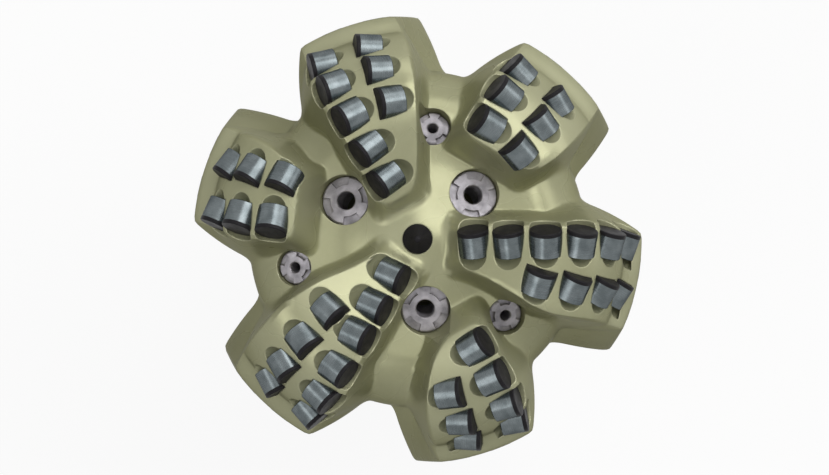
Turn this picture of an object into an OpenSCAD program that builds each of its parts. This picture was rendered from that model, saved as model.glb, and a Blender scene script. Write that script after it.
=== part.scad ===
// Six-bladed fixed-cutter drilling bit, standing on the end of its pin, face up.
// Z = 0 is the end of the pin and +Z runs out through the face. Millimetres and degrees.

/* [Cutting profile] */
// Gauge diameter, the size of the hole that the bit drills
gauge_d = 222.25; // [221:0.25:236]
// Radius of the nose, the ring where the cutter tips reach furthest
nose_r = 62; // [59:0.5:62.5]
// Slope of the cone between the centre and the nose
cone_slope = 20; // [14:1:24]
// Radius of the arc that joins the cone to the nose
nose_arc_r = 35; // [30:1:42]
// Length of the gauge section along the axis
gauge_l = 51; // [44:1:70]

/* [Blades and junk slots] */
// Distance from the cutter tips down to the blade tops at the nose
exposure = 7.5; // [6.5:0.1:8]
// Distance of a blade's leading edge ahead of its centre line
blade_lead = 8.2; // [7.8:0.1:9]
// The same distance where the blade reaches the gauge
gauge_lead = 2.8; // [2:0.1:3.6]
// Width of the slope of a blade's walls near the centre
wall_run = 4.5; // [4:0.1:6]
// Radius of the junk slot floor beside the gauge
slot_r = 83.5; // [80:0.5:88]
// Depth of the fluid courses round the centre, below the nose
floor_drop = 37; // [34:0.5:42]
// Angle that the gauge pads wind back over their length
pad_twist = 6; // [0:0.5:8]
// Width of the bevel under the gauge pads
pad_bevel = 12; // [8:0.5:16]
// Length of the crown below the gauge pads
back_l = 52; // [44:1:64]

/* [Cutters] */
// Diameter of a cutter
cutter_d = 16; // [13:0.1:16]
// Length of a cutter, its diamond table included
cutter_l = 13; // [10:0.1:13.4]
// Thickness of the diamond table
table_t = 2; // [1.2:0.1:3]
// Backward lean of the cutter faces
back_rake = 20; // [12:1:22]
// Distance of the cutter tips ahead of the blade's centre line
tip_lead = 1.9; // [1:0.1:2.6]
// Radius of the innermost cutter
first_r = 18.8; // [18:0.1:20]
// Profile angle of the outermost cutter, where 90 is the gauge
last_angle = 78.4; // [78:0.1:80]
// Angle by which the backup cutters follow the primary ones
backup_lag = 15.4; // [14.6:0.1:16]
// Height of the backup tips below the primary tips
backup_drop = 0.6; // [0:0.1:1.5]
// Braze clearance round a cutter
braze_gap = 0.1; // [0.05:0.01:0.15]

/* [Centre] */
// Diameter of the conical centre element
point_d = 14.5; // [12:0.1:16]
// Height of the conical diamond tip
point_h = 7.5; // [6:0.1:9]
// Length of the element's carbide base
point_base_l = 13; // [10:0.5:18]

/* [Nozzles] */
// Diameter of the three large nozzles
large_nozzle_d = 24; // [22:0.1:25]
// Diameter of the orifice of a large nozzle
large_jet_d = 9; // [6:0.1:10]
// Outward lean of the large nozzles
large_lean = 13; // [11:1:14]
// Diameter of the three small nozzles
small_nozzle_d = 17; // [15:0.1:18]
// Diameter of the orifice of a small nozzle
small_jet_d = 5; // [4:0.1:6]
// Outward lean of the small nozzles
small_lean = 22; // [20:1:23]
// Depth of the nozzle faces below the fluid courses
nozzle_recess = 3; // [2:0.1:5]

/* [Gauge inserts] */
// Diameter of the carbide discs in the gauge pads
insert_d = 11; // [8:0.1:12]
// Depth of the discs
insert_l = 6; // [4:0.1:8]

/* [Shank and pin] */
// Outside diameter of the shank
shank_d = 146; // [142:0.5:150]
// Length of the shank between the make-up shoulder and the weld
shank_l = 92; // [86:1:110]
// Depth of the two breaker flats below the side of the shank
flat_depth = 11; // [8:0.5:14]
// Height of the breaker flats
flat_h = 63.5; // [55:0.5:68]
// Width of the bevel round the make-up shoulder
shoulder_bevel = 5.15; // [4:0.05:8]
// Bore through the pin and shank
bore_d = 57.15; // [50:0.05:60]
// Length of the pin
pin_l = 107.95; // [95:0.05:115]
// Diameter of the thread at the large end of the pin
pin_d = 117.48; // [112:0.01:120]
// Diameter of the plain cylinder at the pin's base
pin_base_d = 114.7; // [110:0.1:117]
// Taper of the pin, as the change of diameter over its length
pin_taper = 0.25; // [0.167:0.001:0.26]
// Pitch of the thread
thread_pitch = 5.08; // [4.5:0.01:6.35]
// Depth of the thread
thread_h = 3; // [2:0.1:3.5]

/* [Hidden] */
BLADES = ["3", "2", "1", "6", "5", "4"];
NOZZLES = ["large_1", "large_2", "large_3", "small_1", "small_2", "small_3"];

// Heights from the end of the pin
crown_z = pin_l + shank_l;
gauge_low_z = crown_z + back_l;
gauge_top_z = gauge_low_z + gauge_l;
gauge_r = gauge_d / 2;
shoulder_r = gauge_r - nose_r;
nose_z = gauge_top_z + shoulder_r;

// Cutting profile: the cone meets the nose arc here
cone_r = nose_r - nose_arc_r * sin(cone_slope);
cone_z = nose_z - nose_arc_r * (1 - cos(cone_slope));
// The gauge pads lie this far inside the gauge
pad_relief = 0.4;
pad_r = gauge_r - pad_relief;

// Blades in turning order: angle, inner end, and the trailing edge as [distance out, distance back]
PLAN = [
    [0, 20, [[20, 14], [34, 19.5], [50, 29], [62, 36.5], [92, 41], [100, 46]]],
    [60, 55.5, [[50, 29], [62, 36.5], [72, 41], [90, 45], [101, 45.5]]],
    [120, 21.5, [[21, 12], [34, 20], [52, 30], [67, 38], [88, 45], [101, 45.5]]],
    [174, 60, [[55, 27], [64, 30], [76, 38], [88, 42], [101, 46]]],
    [239.5, 13.5, [[14, 13], [27, 20], [42, 32], [60, 41], [86, 46], [101, 45.5]]],
    [299.5, 48.5, [[45, 11], [52, 19], [62, 30], [77, 39], [94, 43.5], [101, 46]]]];
blade_count = len(PLAN);

// Cutter order along the profile: first the cone, then the shoulder round and round the blades
CONE_ORDER = [4, 0, 2, 4, 0, 2, 4, 5];
SHOULDER_ORDER = [0, 1, 2, 3, 4, 5];
cone_count = len(CONE_ORDER);
// Profile angle of the first shoulder cutter, and the spacing of them all along the arc
first_angle = 1;
shoulder_pitch = 3.65;
shoulder_arc = shoulder_r * (last_angle - first_angle) * PI / 180;
shoulder_count = floor(shoulder_arc / shoulder_pitch) + 1;
cutter_count = cone_count + shoulder_count;

// Nozzles: blade they serve, angle ahead of it, radius, and whether large
JETS = [[2, 31.7, 40.7, true], [0, 38.5, 35.7, true], [4, 36.9, 35.3, true],
    [1, 22.2, 56.3, false], [5, 19.5, 58.6, false], [3, 19.1, 63.1, false]];

function clamp(x, lo, hi) = max(lo, min(hi, x));
function ease(x) = let (u = clamp(x, 0, 1)) u * u * (3 - 2 * u);
function mix(a, b, t) = a + (b - a) * t;
function soft_min(a, b, k) = let (h = max(k - abs(a - b), 0)) min(a, b) - h * h / k / 4;
function soft_max(a, b, k) = -soft_min(-a, -b, k);

// Stations along the profile: 0 axis, 1 end of cone, 2 nose, 3 gauge top, 4 gauge foot,
// 5 end of the bevel, 6 end of the back taper, 7 foot of the crown.
function lean_at(s) = s < 1 ? -cone_slope : s < 2 ? (s - 2) * cone_slope : (s - 2) * 90;

// Point of the cutting profile at station s, moved inward by the depth e
function face_point(s, e) =
    s < 1 ? let (end_r = cone_r + e * sin(cone_slope), r = s * end_r)
        [r, cone_z - e * cos(cone_slope) - (end_r - r) * tan(cone_slope)]
    : let (a = lean_at(s), arc = s < 2 ? nose_arc_r : shoulder_r)
        [nose_r + (arc - e) * sin(a), nose_z - arc + (arc - e) * cos(a)];

// The blade tops rise to the gauge over the heel, which starts at this profile angle
heel_lean = 76;
function depth_at(s) =
    s < 2 ? exposure
    : mix(exposure, pad_relief, ease((lean_at(s) - heel_lean) / (90 - heel_lean)));

// Upper end of the crown's plain foot, and lower end of the bevel under the pads
foot_h = 8;
slope_end_z = crown_z + foot_h;
bevel_end_z = gauge_low_z - pad_bevel;
function blade_point(s) =
    s < 3 ? face_point(s, depth_at(s))
    : s < 4 ? [pad_r, mix(gauge_top_z, gauge_low_z, s - 3)]
    : s < 5 ? [pad_r - (s - 4) * pad_bevel, mix(gauge_low_z, bevel_end_z, s - 4)]
    : s < 6 ? [mix(pad_r - pad_bevel, shank_d / 2, s - 5), mix(bevel_end_z, slope_end_z, s - 5)]
    : [shank_d / 2, mix(slope_end_z, crown_z, s - 6)];

// Fluid courses: domed round the centre, then over a quarter ellipse into the junk slots
centre_drop = 26;
dome_r = 45;
brow_r = 56;
brow_h = 36;
brow_z = nose_z - floor_drop;
slot_top_z = brow_z - brow_h;
// The slots run straight down to a little above the end of the bevel
slot_lift = 4;
slot_low_z = bevel_end_z + slot_lift;
// Distance out of the floor below the end of the cone
floor_share = 0.96;
cone_floor_r = floor_share * cone_r;
function course_z(r) =
    r < brow_r ? nose_z - mix(centre_drop, floor_drop, ease(r / dome_r))
    : let (t = (r - brow_r) / (slot_r - brow_r)) brow_z - brow_h * (1 - sqrt(max(0, 1 - t * t)));
function floor_point(s) =
    s < 1 ? let (r = s * cone_floor_r) [r, course_z(r)]
    : s < 2 ? let (r = mix(cone_floor_r, brow_r, s - 1)) [r, course_z(r)]
    : s < 3 ? let (a = lean_at(s))
        [mix(brow_r, slot_r, sin(a)), brow_z - brow_h * (1 - cos(a))]
    : s < 5 ? [slot_r, mix(slot_top_z, slot_low_z, (s - 3) / 2)]
    : s < 6 ? [mix(slot_r, shank_d / 2, ease(s - 5)), mix(slot_low_z, slope_end_z, s - 5)]
    : blade_point(s);

// The pads wind back from the top of the gauge to its foot
function twist_at(s) = pad_twist * clamp(s - 3, 0, 1);

// Trailing edge of blade b at the distance x, its corners eased over a few millimetres
edge_step = 5;
function edge_sample(b, x) = -lookup(x, PLAN[b][2]);
function trail_edge(b, x) =
    (edge_sample(b, x - edge_step) + edge_sample(b, x) + edge_sample(b, x + edge_step)) / 3;
// Leading edge and cutter tips, which bend back towards the gauge
bend_r = 86;
gauge_tip_lead = 1.2;
function bend_at(r) = ease((r - bend_r) / (gauge_r - bend_r));
function lead_edge(r) = mix(blade_lead, gauge_lead, bend_at(r));
function tip_side(r) = mix(tip_lead, gauge_tip_lead, bend_at(r));
function reach_at(s) = s < 3 ? blade_point(s)[0] : pad_r;

// The walls flare into the junk slots from this distance out, by these widths
flare_r = 72;
flare_l = 40;
lead_flare = 17.5;
trail_flare = 10;
function flare_at(s) = ease((reach_at(s) - flare_r) / flare_l);
function lead_run(s) = wall_run + lead_flare * flare_at(s);
function trail_run(s) = wall_run + trail_flare * flare_at(s);

// How far the surface stands out to blade b at station s and angle a: 0 on the floor, 1 on top.
// Corners in plan are eased over corner_l, edges and feet of the walls over edge_l and foot_l.
corner_l = 8;
edge_l = 1.5;
foot_l = 3.4;
function blade_height(b, s, a) =
    let (q = a - PLAN[b][0] + twist_at(s), r = reach_at(s), x = r * cos(q), y = r * sin(q),
        front = lead_edge(r), back = trail_edge(b, x),
        across = soft_min(front - y, y - back, corner_l),
        inside = soft_min(across, x - PLAN[b][1], corner_l),
        run = y > (front + back) / 2 ? lead_run(s) : trail_run(s))
    x < 0 ? 0 : soft_max(soft_min(1 + inside / run, 1, edge_l / run), 0, foot_l / run);
function height_at(s, a, b = 0) =
    b == blade_count ? 1 : (1 - blade_height(b, s, a)) * height_at(s, a, b + 1);
function crown_point(s, a) =
    let (p = mix(blade_point(s), floor_point(s), height_at(s, a)))
    [p[0] * cos(a), p[0] * sin(a), p[1]];

// Grid of the crown's skin. Its columns follow the feet and edges of the blades, apart from
// near the centre, where they are even: the one changes to the other over these distances out.
STEPS = [4, 6, 4, 6];
FIRST = [0, STEPS[0], STEPS[0] + STEPS[1], STEPS[0] + STEPS[1] + STEPS[2]];
per_blade = FIRST[3] + STEPS[3];
column_count = blade_count * per_blade;
even_r = 14;
follow_r = 48;
// Inside this distance the columns keep the angles they have at it
marks_r = 42;
// A blade's trailing edge lies this share of the distance out along the blade, and its walls
// may take these angles behind and ahead of its centre line
trail_share = 0.85;
EDGE_LIMIT = [-34, 0];
SECTOR = [-36, 17];
start_angle = -37;
function even_angle(b, i) = 360 * b / blade_count + start_angle + i * 360 / column_count;
function marks(b, s) =
    let (r = max(reach_at(s), marks_r), lead = asin(lead_edge(r) / r),
        trail = clamp(asin(trail_edge(b, r * trail_share) / r), EDGE_LIMIT[0], EDGE_LIMIT[1]),
        trail_foot = max(SECTOR[0], trail - asin(trail_run(s) / r)),
        lead_foot = min(SECTOR[1], lead + asin(lead_run(s) / r)))
    [for (a = [trail_foot, trail, lead, lead_foot]) PLAN[b][0] + a - twist_at(s)];
function column_angle(j, s) =
    let (b = floor(j / per_blade), i = j % per_blade, here = marks(b, s),
        next = marks((b + 1) % blade_count, s)[0] + (b == blade_count - 1 ? 360 : 0),
        ends = concat(here, [next]),
        k = i < FIRST[1] ? 0 : i < FIRST[2] ? 1 : i < FIRST[3] ? 2 : 3,
        goal = mix(ends[k], ends[k + 1], (i - FIRST[k]) / STEPS[k]))
    mix(even_angle(b, i), goal, ease((reach_at(s) - even_r) / (follow_r - even_r)));
ROW_STEPS = [15, 3, 15, 4, 2, 4, 1];
ROWS = [for (k = [0:len(ROW_STEPS) - 1]) for (i = [1:ROW_STEPS[k]]) k + i / ROW_STEPS[k]];

module crown_skin() {
    rows = len(ROWS);
    cols = column_count;
    points = concat(
        [crown_point(0, 0)],
        [for (s = ROWS) for (j = [0:cols - 1]) crown_point(s, column_angle(j, s))],
        [[0, 0, crown_z]]);
    foot = rows * cols + 1;
    faces = concat(
        [for (j = [0:cols - 1]) [0, 1 + (j + 1) % cols, 1 + j]],
        [for (i = [0:rows - 2]) for (j = [0:cols - 1])
            let (a = 1 + i * cols + j, b = 1 + i * cols + (j + 1) % cols)
            each [[a, b, a + cols], [b, b + cols, a + cols]]],
        [for (j = [0:cols - 1])
            [foot, 1 + (rows - 1) * cols + j, 1 + (rows - 1) * cols + (j + 1) % cols]]);
    polyhedron(points, faces, convexity = 12);
}

// Station and blade of cutter n, counted from the centre outward
function ring_station(r) =
    r < cone_r ? r / cone_r : 2 - asin((nose_r - r) / nose_arc_r) / cone_slope;
function cutter_station(n) =
    n < cone_count ? ring_station(mix(first_r, nose_r, n / (cone_count - 0.5)))
    : 2 + mix(first_angle, last_angle, (n - cone_count) / (shoulder_count - 1)) / 90;
function cutter_blade(n) =
    n < cone_count ? CONE_ORDER[n] : SHOULDER_ORDER[(n - cone_count) % blade_count];
// The backups lag by backup_lag at this distance inside the gauge, and by more nearer the centre
lag_inset = 23;
lag_growth = 0.09;
function lag_at(r) = backup_lag + lag_growth * (gauge_r - lag_inset - r);
function has_backup(n) = n >= cone_count || n == cone_count - 2;
function on_blade(b) = [for (n = [0:cutter_count - 1]) if (cutter_blade(n) == b) n];
function backed_on(b) = [for (n = on_blade(b)) if (has_backup(n)) n];

// Places its children at the tip of cutter n, with +Z out of the profile and +Y ahead
module at_tip(n, backup = false) {
    s = cutter_station(n);
    tip = face_point(s, backup ? backup_drop : 0);
    turn = PLAN[cutter_blade(n)][0] - (backup ? lag_at(tip[0]) : 0);
    rotate(turn) translate([tip[0], tip_side(tip[0]), tip[1]]) rotate([0, lean_at(s), 0])
        children();
}

// Places its children at cutter n: the face is at z = 0, looks along +Z and cuts at -Y
module at_cutter(n, backup = false) {
    at_tip(n, backup) rotate([back_rake - 90, 0, 0]) translate([0, cutter_d / 2, 0]) children();
}

module cutter_body() {
    translate([0, 0, -cutter_l]) cylinder(d = cutter_d, h = cutter_l - table_t, $fn = 64);
}

module cutter_table() {
    bevel = 0.4;
    translate([0, 0, -table_t]) cylinder(d = cutter_d, h = table_t - bevel, $fn = 64);
    translate([0, 0, -bevel])
        cylinder(d1 = cutter_d, d2 = cutter_d - 2 * bevel, h = bevel, $fn = 64);
}

// Seat of a cutter, open for the length ahead of its face
module pocket(ahead) {
    depth = cutter_l + braze_gap;
    translate([0, 0, -depth]) cylinder(d = cutter_d + 2 * braze_gap, h = depth + ahead, $fn = 64);
}

// Shallow dish in the blade top behind a cutter whose tip stands this high above it
scoop_r = 7;
scoop_depth = 3;
scoop_back = 9.5;
module scoop(height) {
    ball_r = (scoop_r * scoop_r + scoop_depth * scoop_depth) / (2 * scoop_depth);
    translate([0, -scoop_back, ball_r - scoop_depth - height]) rotate([90, 0, 0])
        sphere(r = ball_r, $fn = 48);
}

module cutter_pockets() {
    mouth_l = 10;
    // Only where the back end of a cutter stands clear of the blade top
    clear_h = 0.5;
    least_height = cutter_l * sin(back_rake) + clear_h;
    for (n = [0:cutter_count - 1]) {
        height = depth_at(cutter_station(n));
        at_cutter(n) pocket(mouth_l);
        if (height > least_height) at_tip(n) scoop(height);
        if (has_backup(n)) {
            at_cutter(n, backup = true) pocket(braze_gap);
            if (height - backup_drop > least_height)
                at_tip(n, backup = true) scoop(height - backup_drop);
        }
    }
}

module primary_bodies(b) {
    color("slategray") for (n = on_blade(b)) at_cutter(n) cutter_body();
}

module primary_tables(b) {
    color("#242226") for (n = on_blade(b)) at_cutter(n) cutter_table();
}

module backup_bodies(b) {
    color("slategray") for (n = backed_on(b)) at_cutter(n, backup = true) cutter_body();
}

module backup_tables(b) {
    color("#242226") for (n = backed_on(b)) at_cutter(n, backup = true) cutter_table();
}

// Centre element, its base sunk into the dome in the middle of the cone
centre_z = course_z(0);

module centre_base() {
    color("slategray") translate([0, 0, centre_z - point_base_l])
        cylinder(d = point_d, h = point_base_l, $fn = 64);
}

module centre_point() {
    tip_r = 2.4;
    steps = 8;
    slant = atan2(point_d / 2 - tip_r, point_h - tip_r);
    arc = [for (i = [0:steps]) let (a = i / steps * (90 - slant / 2))
        [tip_r * sin(a), point_h - tip_r + tip_r * cos(a)]];
    color("#242226") translate([0, 0, centre_z]) rotate_extrude($fn = 64)
        polygon(concat([[0, 0]], arc, [[point_d / 2, 0]]));
}

module centre_socket() {
    clear_h = 5;
    translate([0, 0, centre_z - point_base_l])
        cylinder(d = point_d + 2 * braze_gap, h = point_base_l + clear_h, $fn = 64);
}

// Carbide discs pressed into a gauge pad, in two columns that wind back with the pad
INSERT_ROWS = [0.18, 0.5, 0.82];
INSERT_COLUMNS = [6.5, 17.5];
insert_proud = 0.15;

module at_inserts(b) {
    for (row = INSERT_ROWS) for (column = INSERT_COLUMNS)
        rotate(PLAN[b][0] - column - twist_at(3 + row))
            translate([pad_r + insert_proud - insert_l, 0, mix(gauge_top_z, gauge_low_z, row)])
                rotate([0, 90, 0]) children();
}

module insert_disc() {
    cylinder(d = insert_d, h = insert_l, $fn = 48);
}

module gauge_inserts(b) {
    color("dimgray") at_inserts(b) insert_disc();
}

// Nozzles. Each is placed with z = 0 on the fluid course and +Z along its jet.
head_h = 9;
sleeve_l = 20;
tail_l = 7;
port_gap = 0.4;
function nozzle_r(k) = (JETS[k][3] ? large_nozzle_d : small_nozzle_d) / 2;
function jet_r(k) = (JETS[k][3] ? large_jet_d : small_jet_d) / 2;
function port_r(k) = nozzle_r(k) + port_gap;
// Radii of the thread, the plain tail and the inlet, as shares of the nozzle's
thread_share = 0.78;
tail_share = 0.68;
inlet_share = 0.56;
function thread_r(k) = nozzle_r(k) * thread_share;
function tail_r(k) = nozzle_r(k) * tail_share;
function inlet_r(k) = nozzle_r(k) * inlet_share;
sleeve_z = -nozzle_recess - head_h;
tail_z = sleeve_z - sleeve_l;
seat_z = tail_z - tail_l;

module at_nozzle(k) {
    jet = JETS[k];
    rotate(PLAN[jet[0]][0] + jet[1]) translate([jet[2], 0, course_z(jet[2])])
        rotate([0, jet[3] ? large_lean : small_lean, 0]) children();
}

// Four recesses in the rim of its face take the spanner
module nozzle(k) {
    rim_bevel = 0.8;
    throat_l = 7;
    key_h = 2.2;
    key_angle = 48;
    key_share = 0.66;
    key_r = nozzle_r(k) * key_share;
    color("thistle") at_nozzle(k) difference() {
        rotate_extrude($fn = 64) polygon([
            [jet_r(k), -nozzle_recess], [nozzle_r(k) - rim_bevel, -nozzle_recess],
            [nozzle_r(k), -nozzle_recess - rim_bevel], [nozzle_r(k), sleeve_z],
            [thread_r(k), sleeve_z], [thread_r(k), tail_z], [tail_r(k), tail_z],
            [tail_r(k), seat_z], [inlet_r(k), seat_z], [inlet_r(k), tail_z],
            [jet_r(k), -nozzle_recess - throat_l]]);
        for (a = [45:90:315]) rotate(a - key_angle / 2)
            translate([0, 0, -nozzle_recess - key_h])
                rotate_extrude(angle = key_angle, $fn = 64)
                    translate([key_r, 0]) square([nozzle_r(k), key_h + 1]);
    }
}

module nozzle_sleeve(k) {
    color("gray") at_nozzle(k) translate([0, 0, tail_z]) difference() {
        cylinder(r = port_r(k), h = sleeve_l, $fn = 64);
        translate([0, 0, -1]) cylinder(r = thread_r(k), h = sleeve_l + 2, $fn = 64);
    }
}

module nozzle_seal(k) {
    section_r = (port_r(k) - tail_r(k)) / 2;
    color("black") at_nozzle(k) translate([0, 0, seat_z + section_r]) rotate_extrude($fn = 64)
        translate([tail_r(k) + section_r, 0]) circle(r = section_r, $fn = 32);
}

// Plenum in the crown, and the port and feed passage of each nozzle
plenum_drop = 10;
plenum_top_z = gauge_low_z - plenum_drop;
plenum_cone_h = 14;
// Depth of the vee groove that the crown and the shank are welded in, and half its width
vee_depth = 10;
vee_half_w = 6;
bead_rise = 1.6;

module waterways() {
    spanner_room = 24;
    // Turns the seams of the ports off the edges of the skin's facets
    seam_turn = 100;
    translate([0, 0, crown_z - 1]) cylinder(d = bore_d, h = plenum_top_z - crown_z + 1, $fn = 96);
    translate([0, 0, plenum_top_z])
        cylinder(d1 = bore_d, d2 = bore_d / 2, h = plenum_cone_h, $fn = 96);
    for (k = [0:len(JETS) - 1]) {
        lean = JETS[k][3] ? large_lean : small_lean;
        feed_l = (JETS[k][2] - bore_d / 4) / sin(lean);
        at_nozzle(k) {
            translate([0, 0, seat_z]) rotate(seam_turn)
                cylinder(r = port_r(k), h = spanner_room - seat_z, $fn = 64);
            translate([0, 0, -feed_l]) rotate(seam_turn)
                cylinder(r = inlet_r(k), h = feed_l + seat_z + 1, $fn = 64);
        }
    }
}

// The crown's half of the weld groove
module weld_groove() {
    outer = shank_d / 2;
    past = 20;
    rotate_extrude($fn = 128) polygon([
        [outer - vee_depth, crown_z], [outer + past, crown_z - 1],
        [outer + past, crown_z + vee_half_w * (1 + past / vee_depth)]]);
}

module crown() {
    color("#a09c76") difference() {
        crown_skin();
        cutter_pockets();
        centre_socket();
        for (b = [0:blade_count - 1]) at_inserts(b) insert_disc();
        waterways();
        weld_groove();
    }
}

module weld_bead() {
    outer = shank_d / 2;
    steps = 8;
    crest = [for (i = [0:steps])
        [outer + bead_rise * sin(180 * i / steps), crown_z + vee_half_w * (2 * i / steps - 1)]];
    color("darkgray") rotate_extrude($fn = 128)
        polygon(concat([[outer - vee_depth, crown_z]], crest));
}

// Shank: tapered pin with its thread grooves, make-up shoulder, body and weld bevel
module shank() {
    outer = shank_d / 2;
    base_l = 12.7;
    thread_gap = 2;
    end_bevel = 3;
    end_step = 1;
    bore_bevel = 2;
    function pin_r(z) = (pin_d - (pin_l - z) * pin_taper) / 2;
    turns = floor((pin_l - base_l - 2 * thread_gap - end_bevel) / thread_pitch);
    // A groove's first crest, its two root corners and its last crest, as shares of the pitch
    groove = [[0, 0], [0.12, 0], [0.44, 1], [0.56, 1], [0.88, 0]];
    grooves = [for (i = [0:turns - 1])
        let (z = pin_l - base_l - thread_gap - i * thread_pitch)
        for (p = groove) [pin_r(z) - p[1] * thread_h, z - p[0] * thread_pitch]];
    // Full width left between the bevel of the make-up shoulder and the flats
    land_h = 7;
    flat_z = pin_l + shoulder_bevel + land_h;
    color("#8d8a78") difference() {
        rotate_extrude($fn = 128) polygon(concat(
            [[bore_d / 2, crown_z], [outer - vee_depth, crown_z], [outer, crown_z - vee_half_w],
                [outer, pin_l + shoulder_bevel], [outer - shoulder_bevel, pin_l],
                [pin_base_d / 2, pin_l], [pin_base_d / 2, pin_l - base_l]],
            grooves,
            [[pin_r(end_bevel) - end_step, end_bevel], [pin_r(0) - end_step - end_bevel, 0],
                [bore_d / 2 + bore_bevel, 0], [bore_d / 2, bore_bevel]]));
        for (side = [0, 180]) rotate(side)
            translate([outer - flat_depth, -outer, flat_z]) cube([outer, 2 * outer, flat_h]);
    }
}

crown();
shank();
weld_bead();
centre_base();
centre_point();
for (b = [0:blade_count - 1]) {
    primary_bodies(b);
    primary_tables(b);
    backup_bodies(b);
    backup_tables(b);
    gauge_inserts(b);
}
for (k = [0:len(JETS) - 1]) {
    nozzle(k);
    nozzle_sleeve(k);
    nozzle_seal(k);
}
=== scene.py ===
"""Dresses the six-bladed fixed-cutter drilling bit for a studio picture of its cutting face.

The construction is the fixed frame. Its pieces keep their places, and the ones that show get finer
meshes of the same form, made here from the same sizes. Sizes are in millimetres and degrees. Those of
the finishes and of the studio's lamps and floor are in metres.
"""

import logging
import math
from dataclasses import dataclass, field
from enum import Enum

import bpy
import numpy as np
from mathutils import Matrix, Vector


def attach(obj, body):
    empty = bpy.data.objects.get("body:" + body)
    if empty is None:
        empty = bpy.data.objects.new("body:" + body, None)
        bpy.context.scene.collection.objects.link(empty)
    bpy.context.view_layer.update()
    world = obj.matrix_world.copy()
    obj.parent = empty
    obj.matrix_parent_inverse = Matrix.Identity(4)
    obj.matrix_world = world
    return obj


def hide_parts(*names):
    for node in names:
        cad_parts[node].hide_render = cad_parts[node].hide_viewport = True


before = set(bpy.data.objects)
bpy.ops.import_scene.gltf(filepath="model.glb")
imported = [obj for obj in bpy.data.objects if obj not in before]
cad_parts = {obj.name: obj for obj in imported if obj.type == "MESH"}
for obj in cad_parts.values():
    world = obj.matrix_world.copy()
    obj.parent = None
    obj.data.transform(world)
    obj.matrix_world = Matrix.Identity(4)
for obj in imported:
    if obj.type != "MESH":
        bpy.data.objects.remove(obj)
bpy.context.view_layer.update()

MM = 0.001
BODY = "root"
Colour = tuple[float, float, float, float]
Outline = list[tuple[float, float]]
Faces = list[tuple[int, ...]]
Item = bpy.types.Object
Material = bpy.types.Material
Socket = bpy.types.NodeSocket
log = logging.getLogger("bit")


class CutterRow(Enum):
    """The two rows of cutters on a blade."""

    PRIMARY = "primary"
    BACKUP = "backup"


class NozzleSize(Enum):
    """The two nozzle sizes: face diameter, orifice diameter and outward lean."""

    LARGE = (24.0, 9.0, 13.0)
    SMALL = (17.0, 5.0, 22.0)

    def __init__(self, face_d: float, jet_d: float, lean: float) -> None:
        """Gives the three values their names.

        Args:
            face_d: Diameter of the nozzle's face.
            jet_d: Diameter of its orifice.
            lean: Lean of the nozzle away from the bit's axis.
        """
        self.face_d = face_d
        self.jet_d = jet_d
        self.lean = lean


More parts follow.
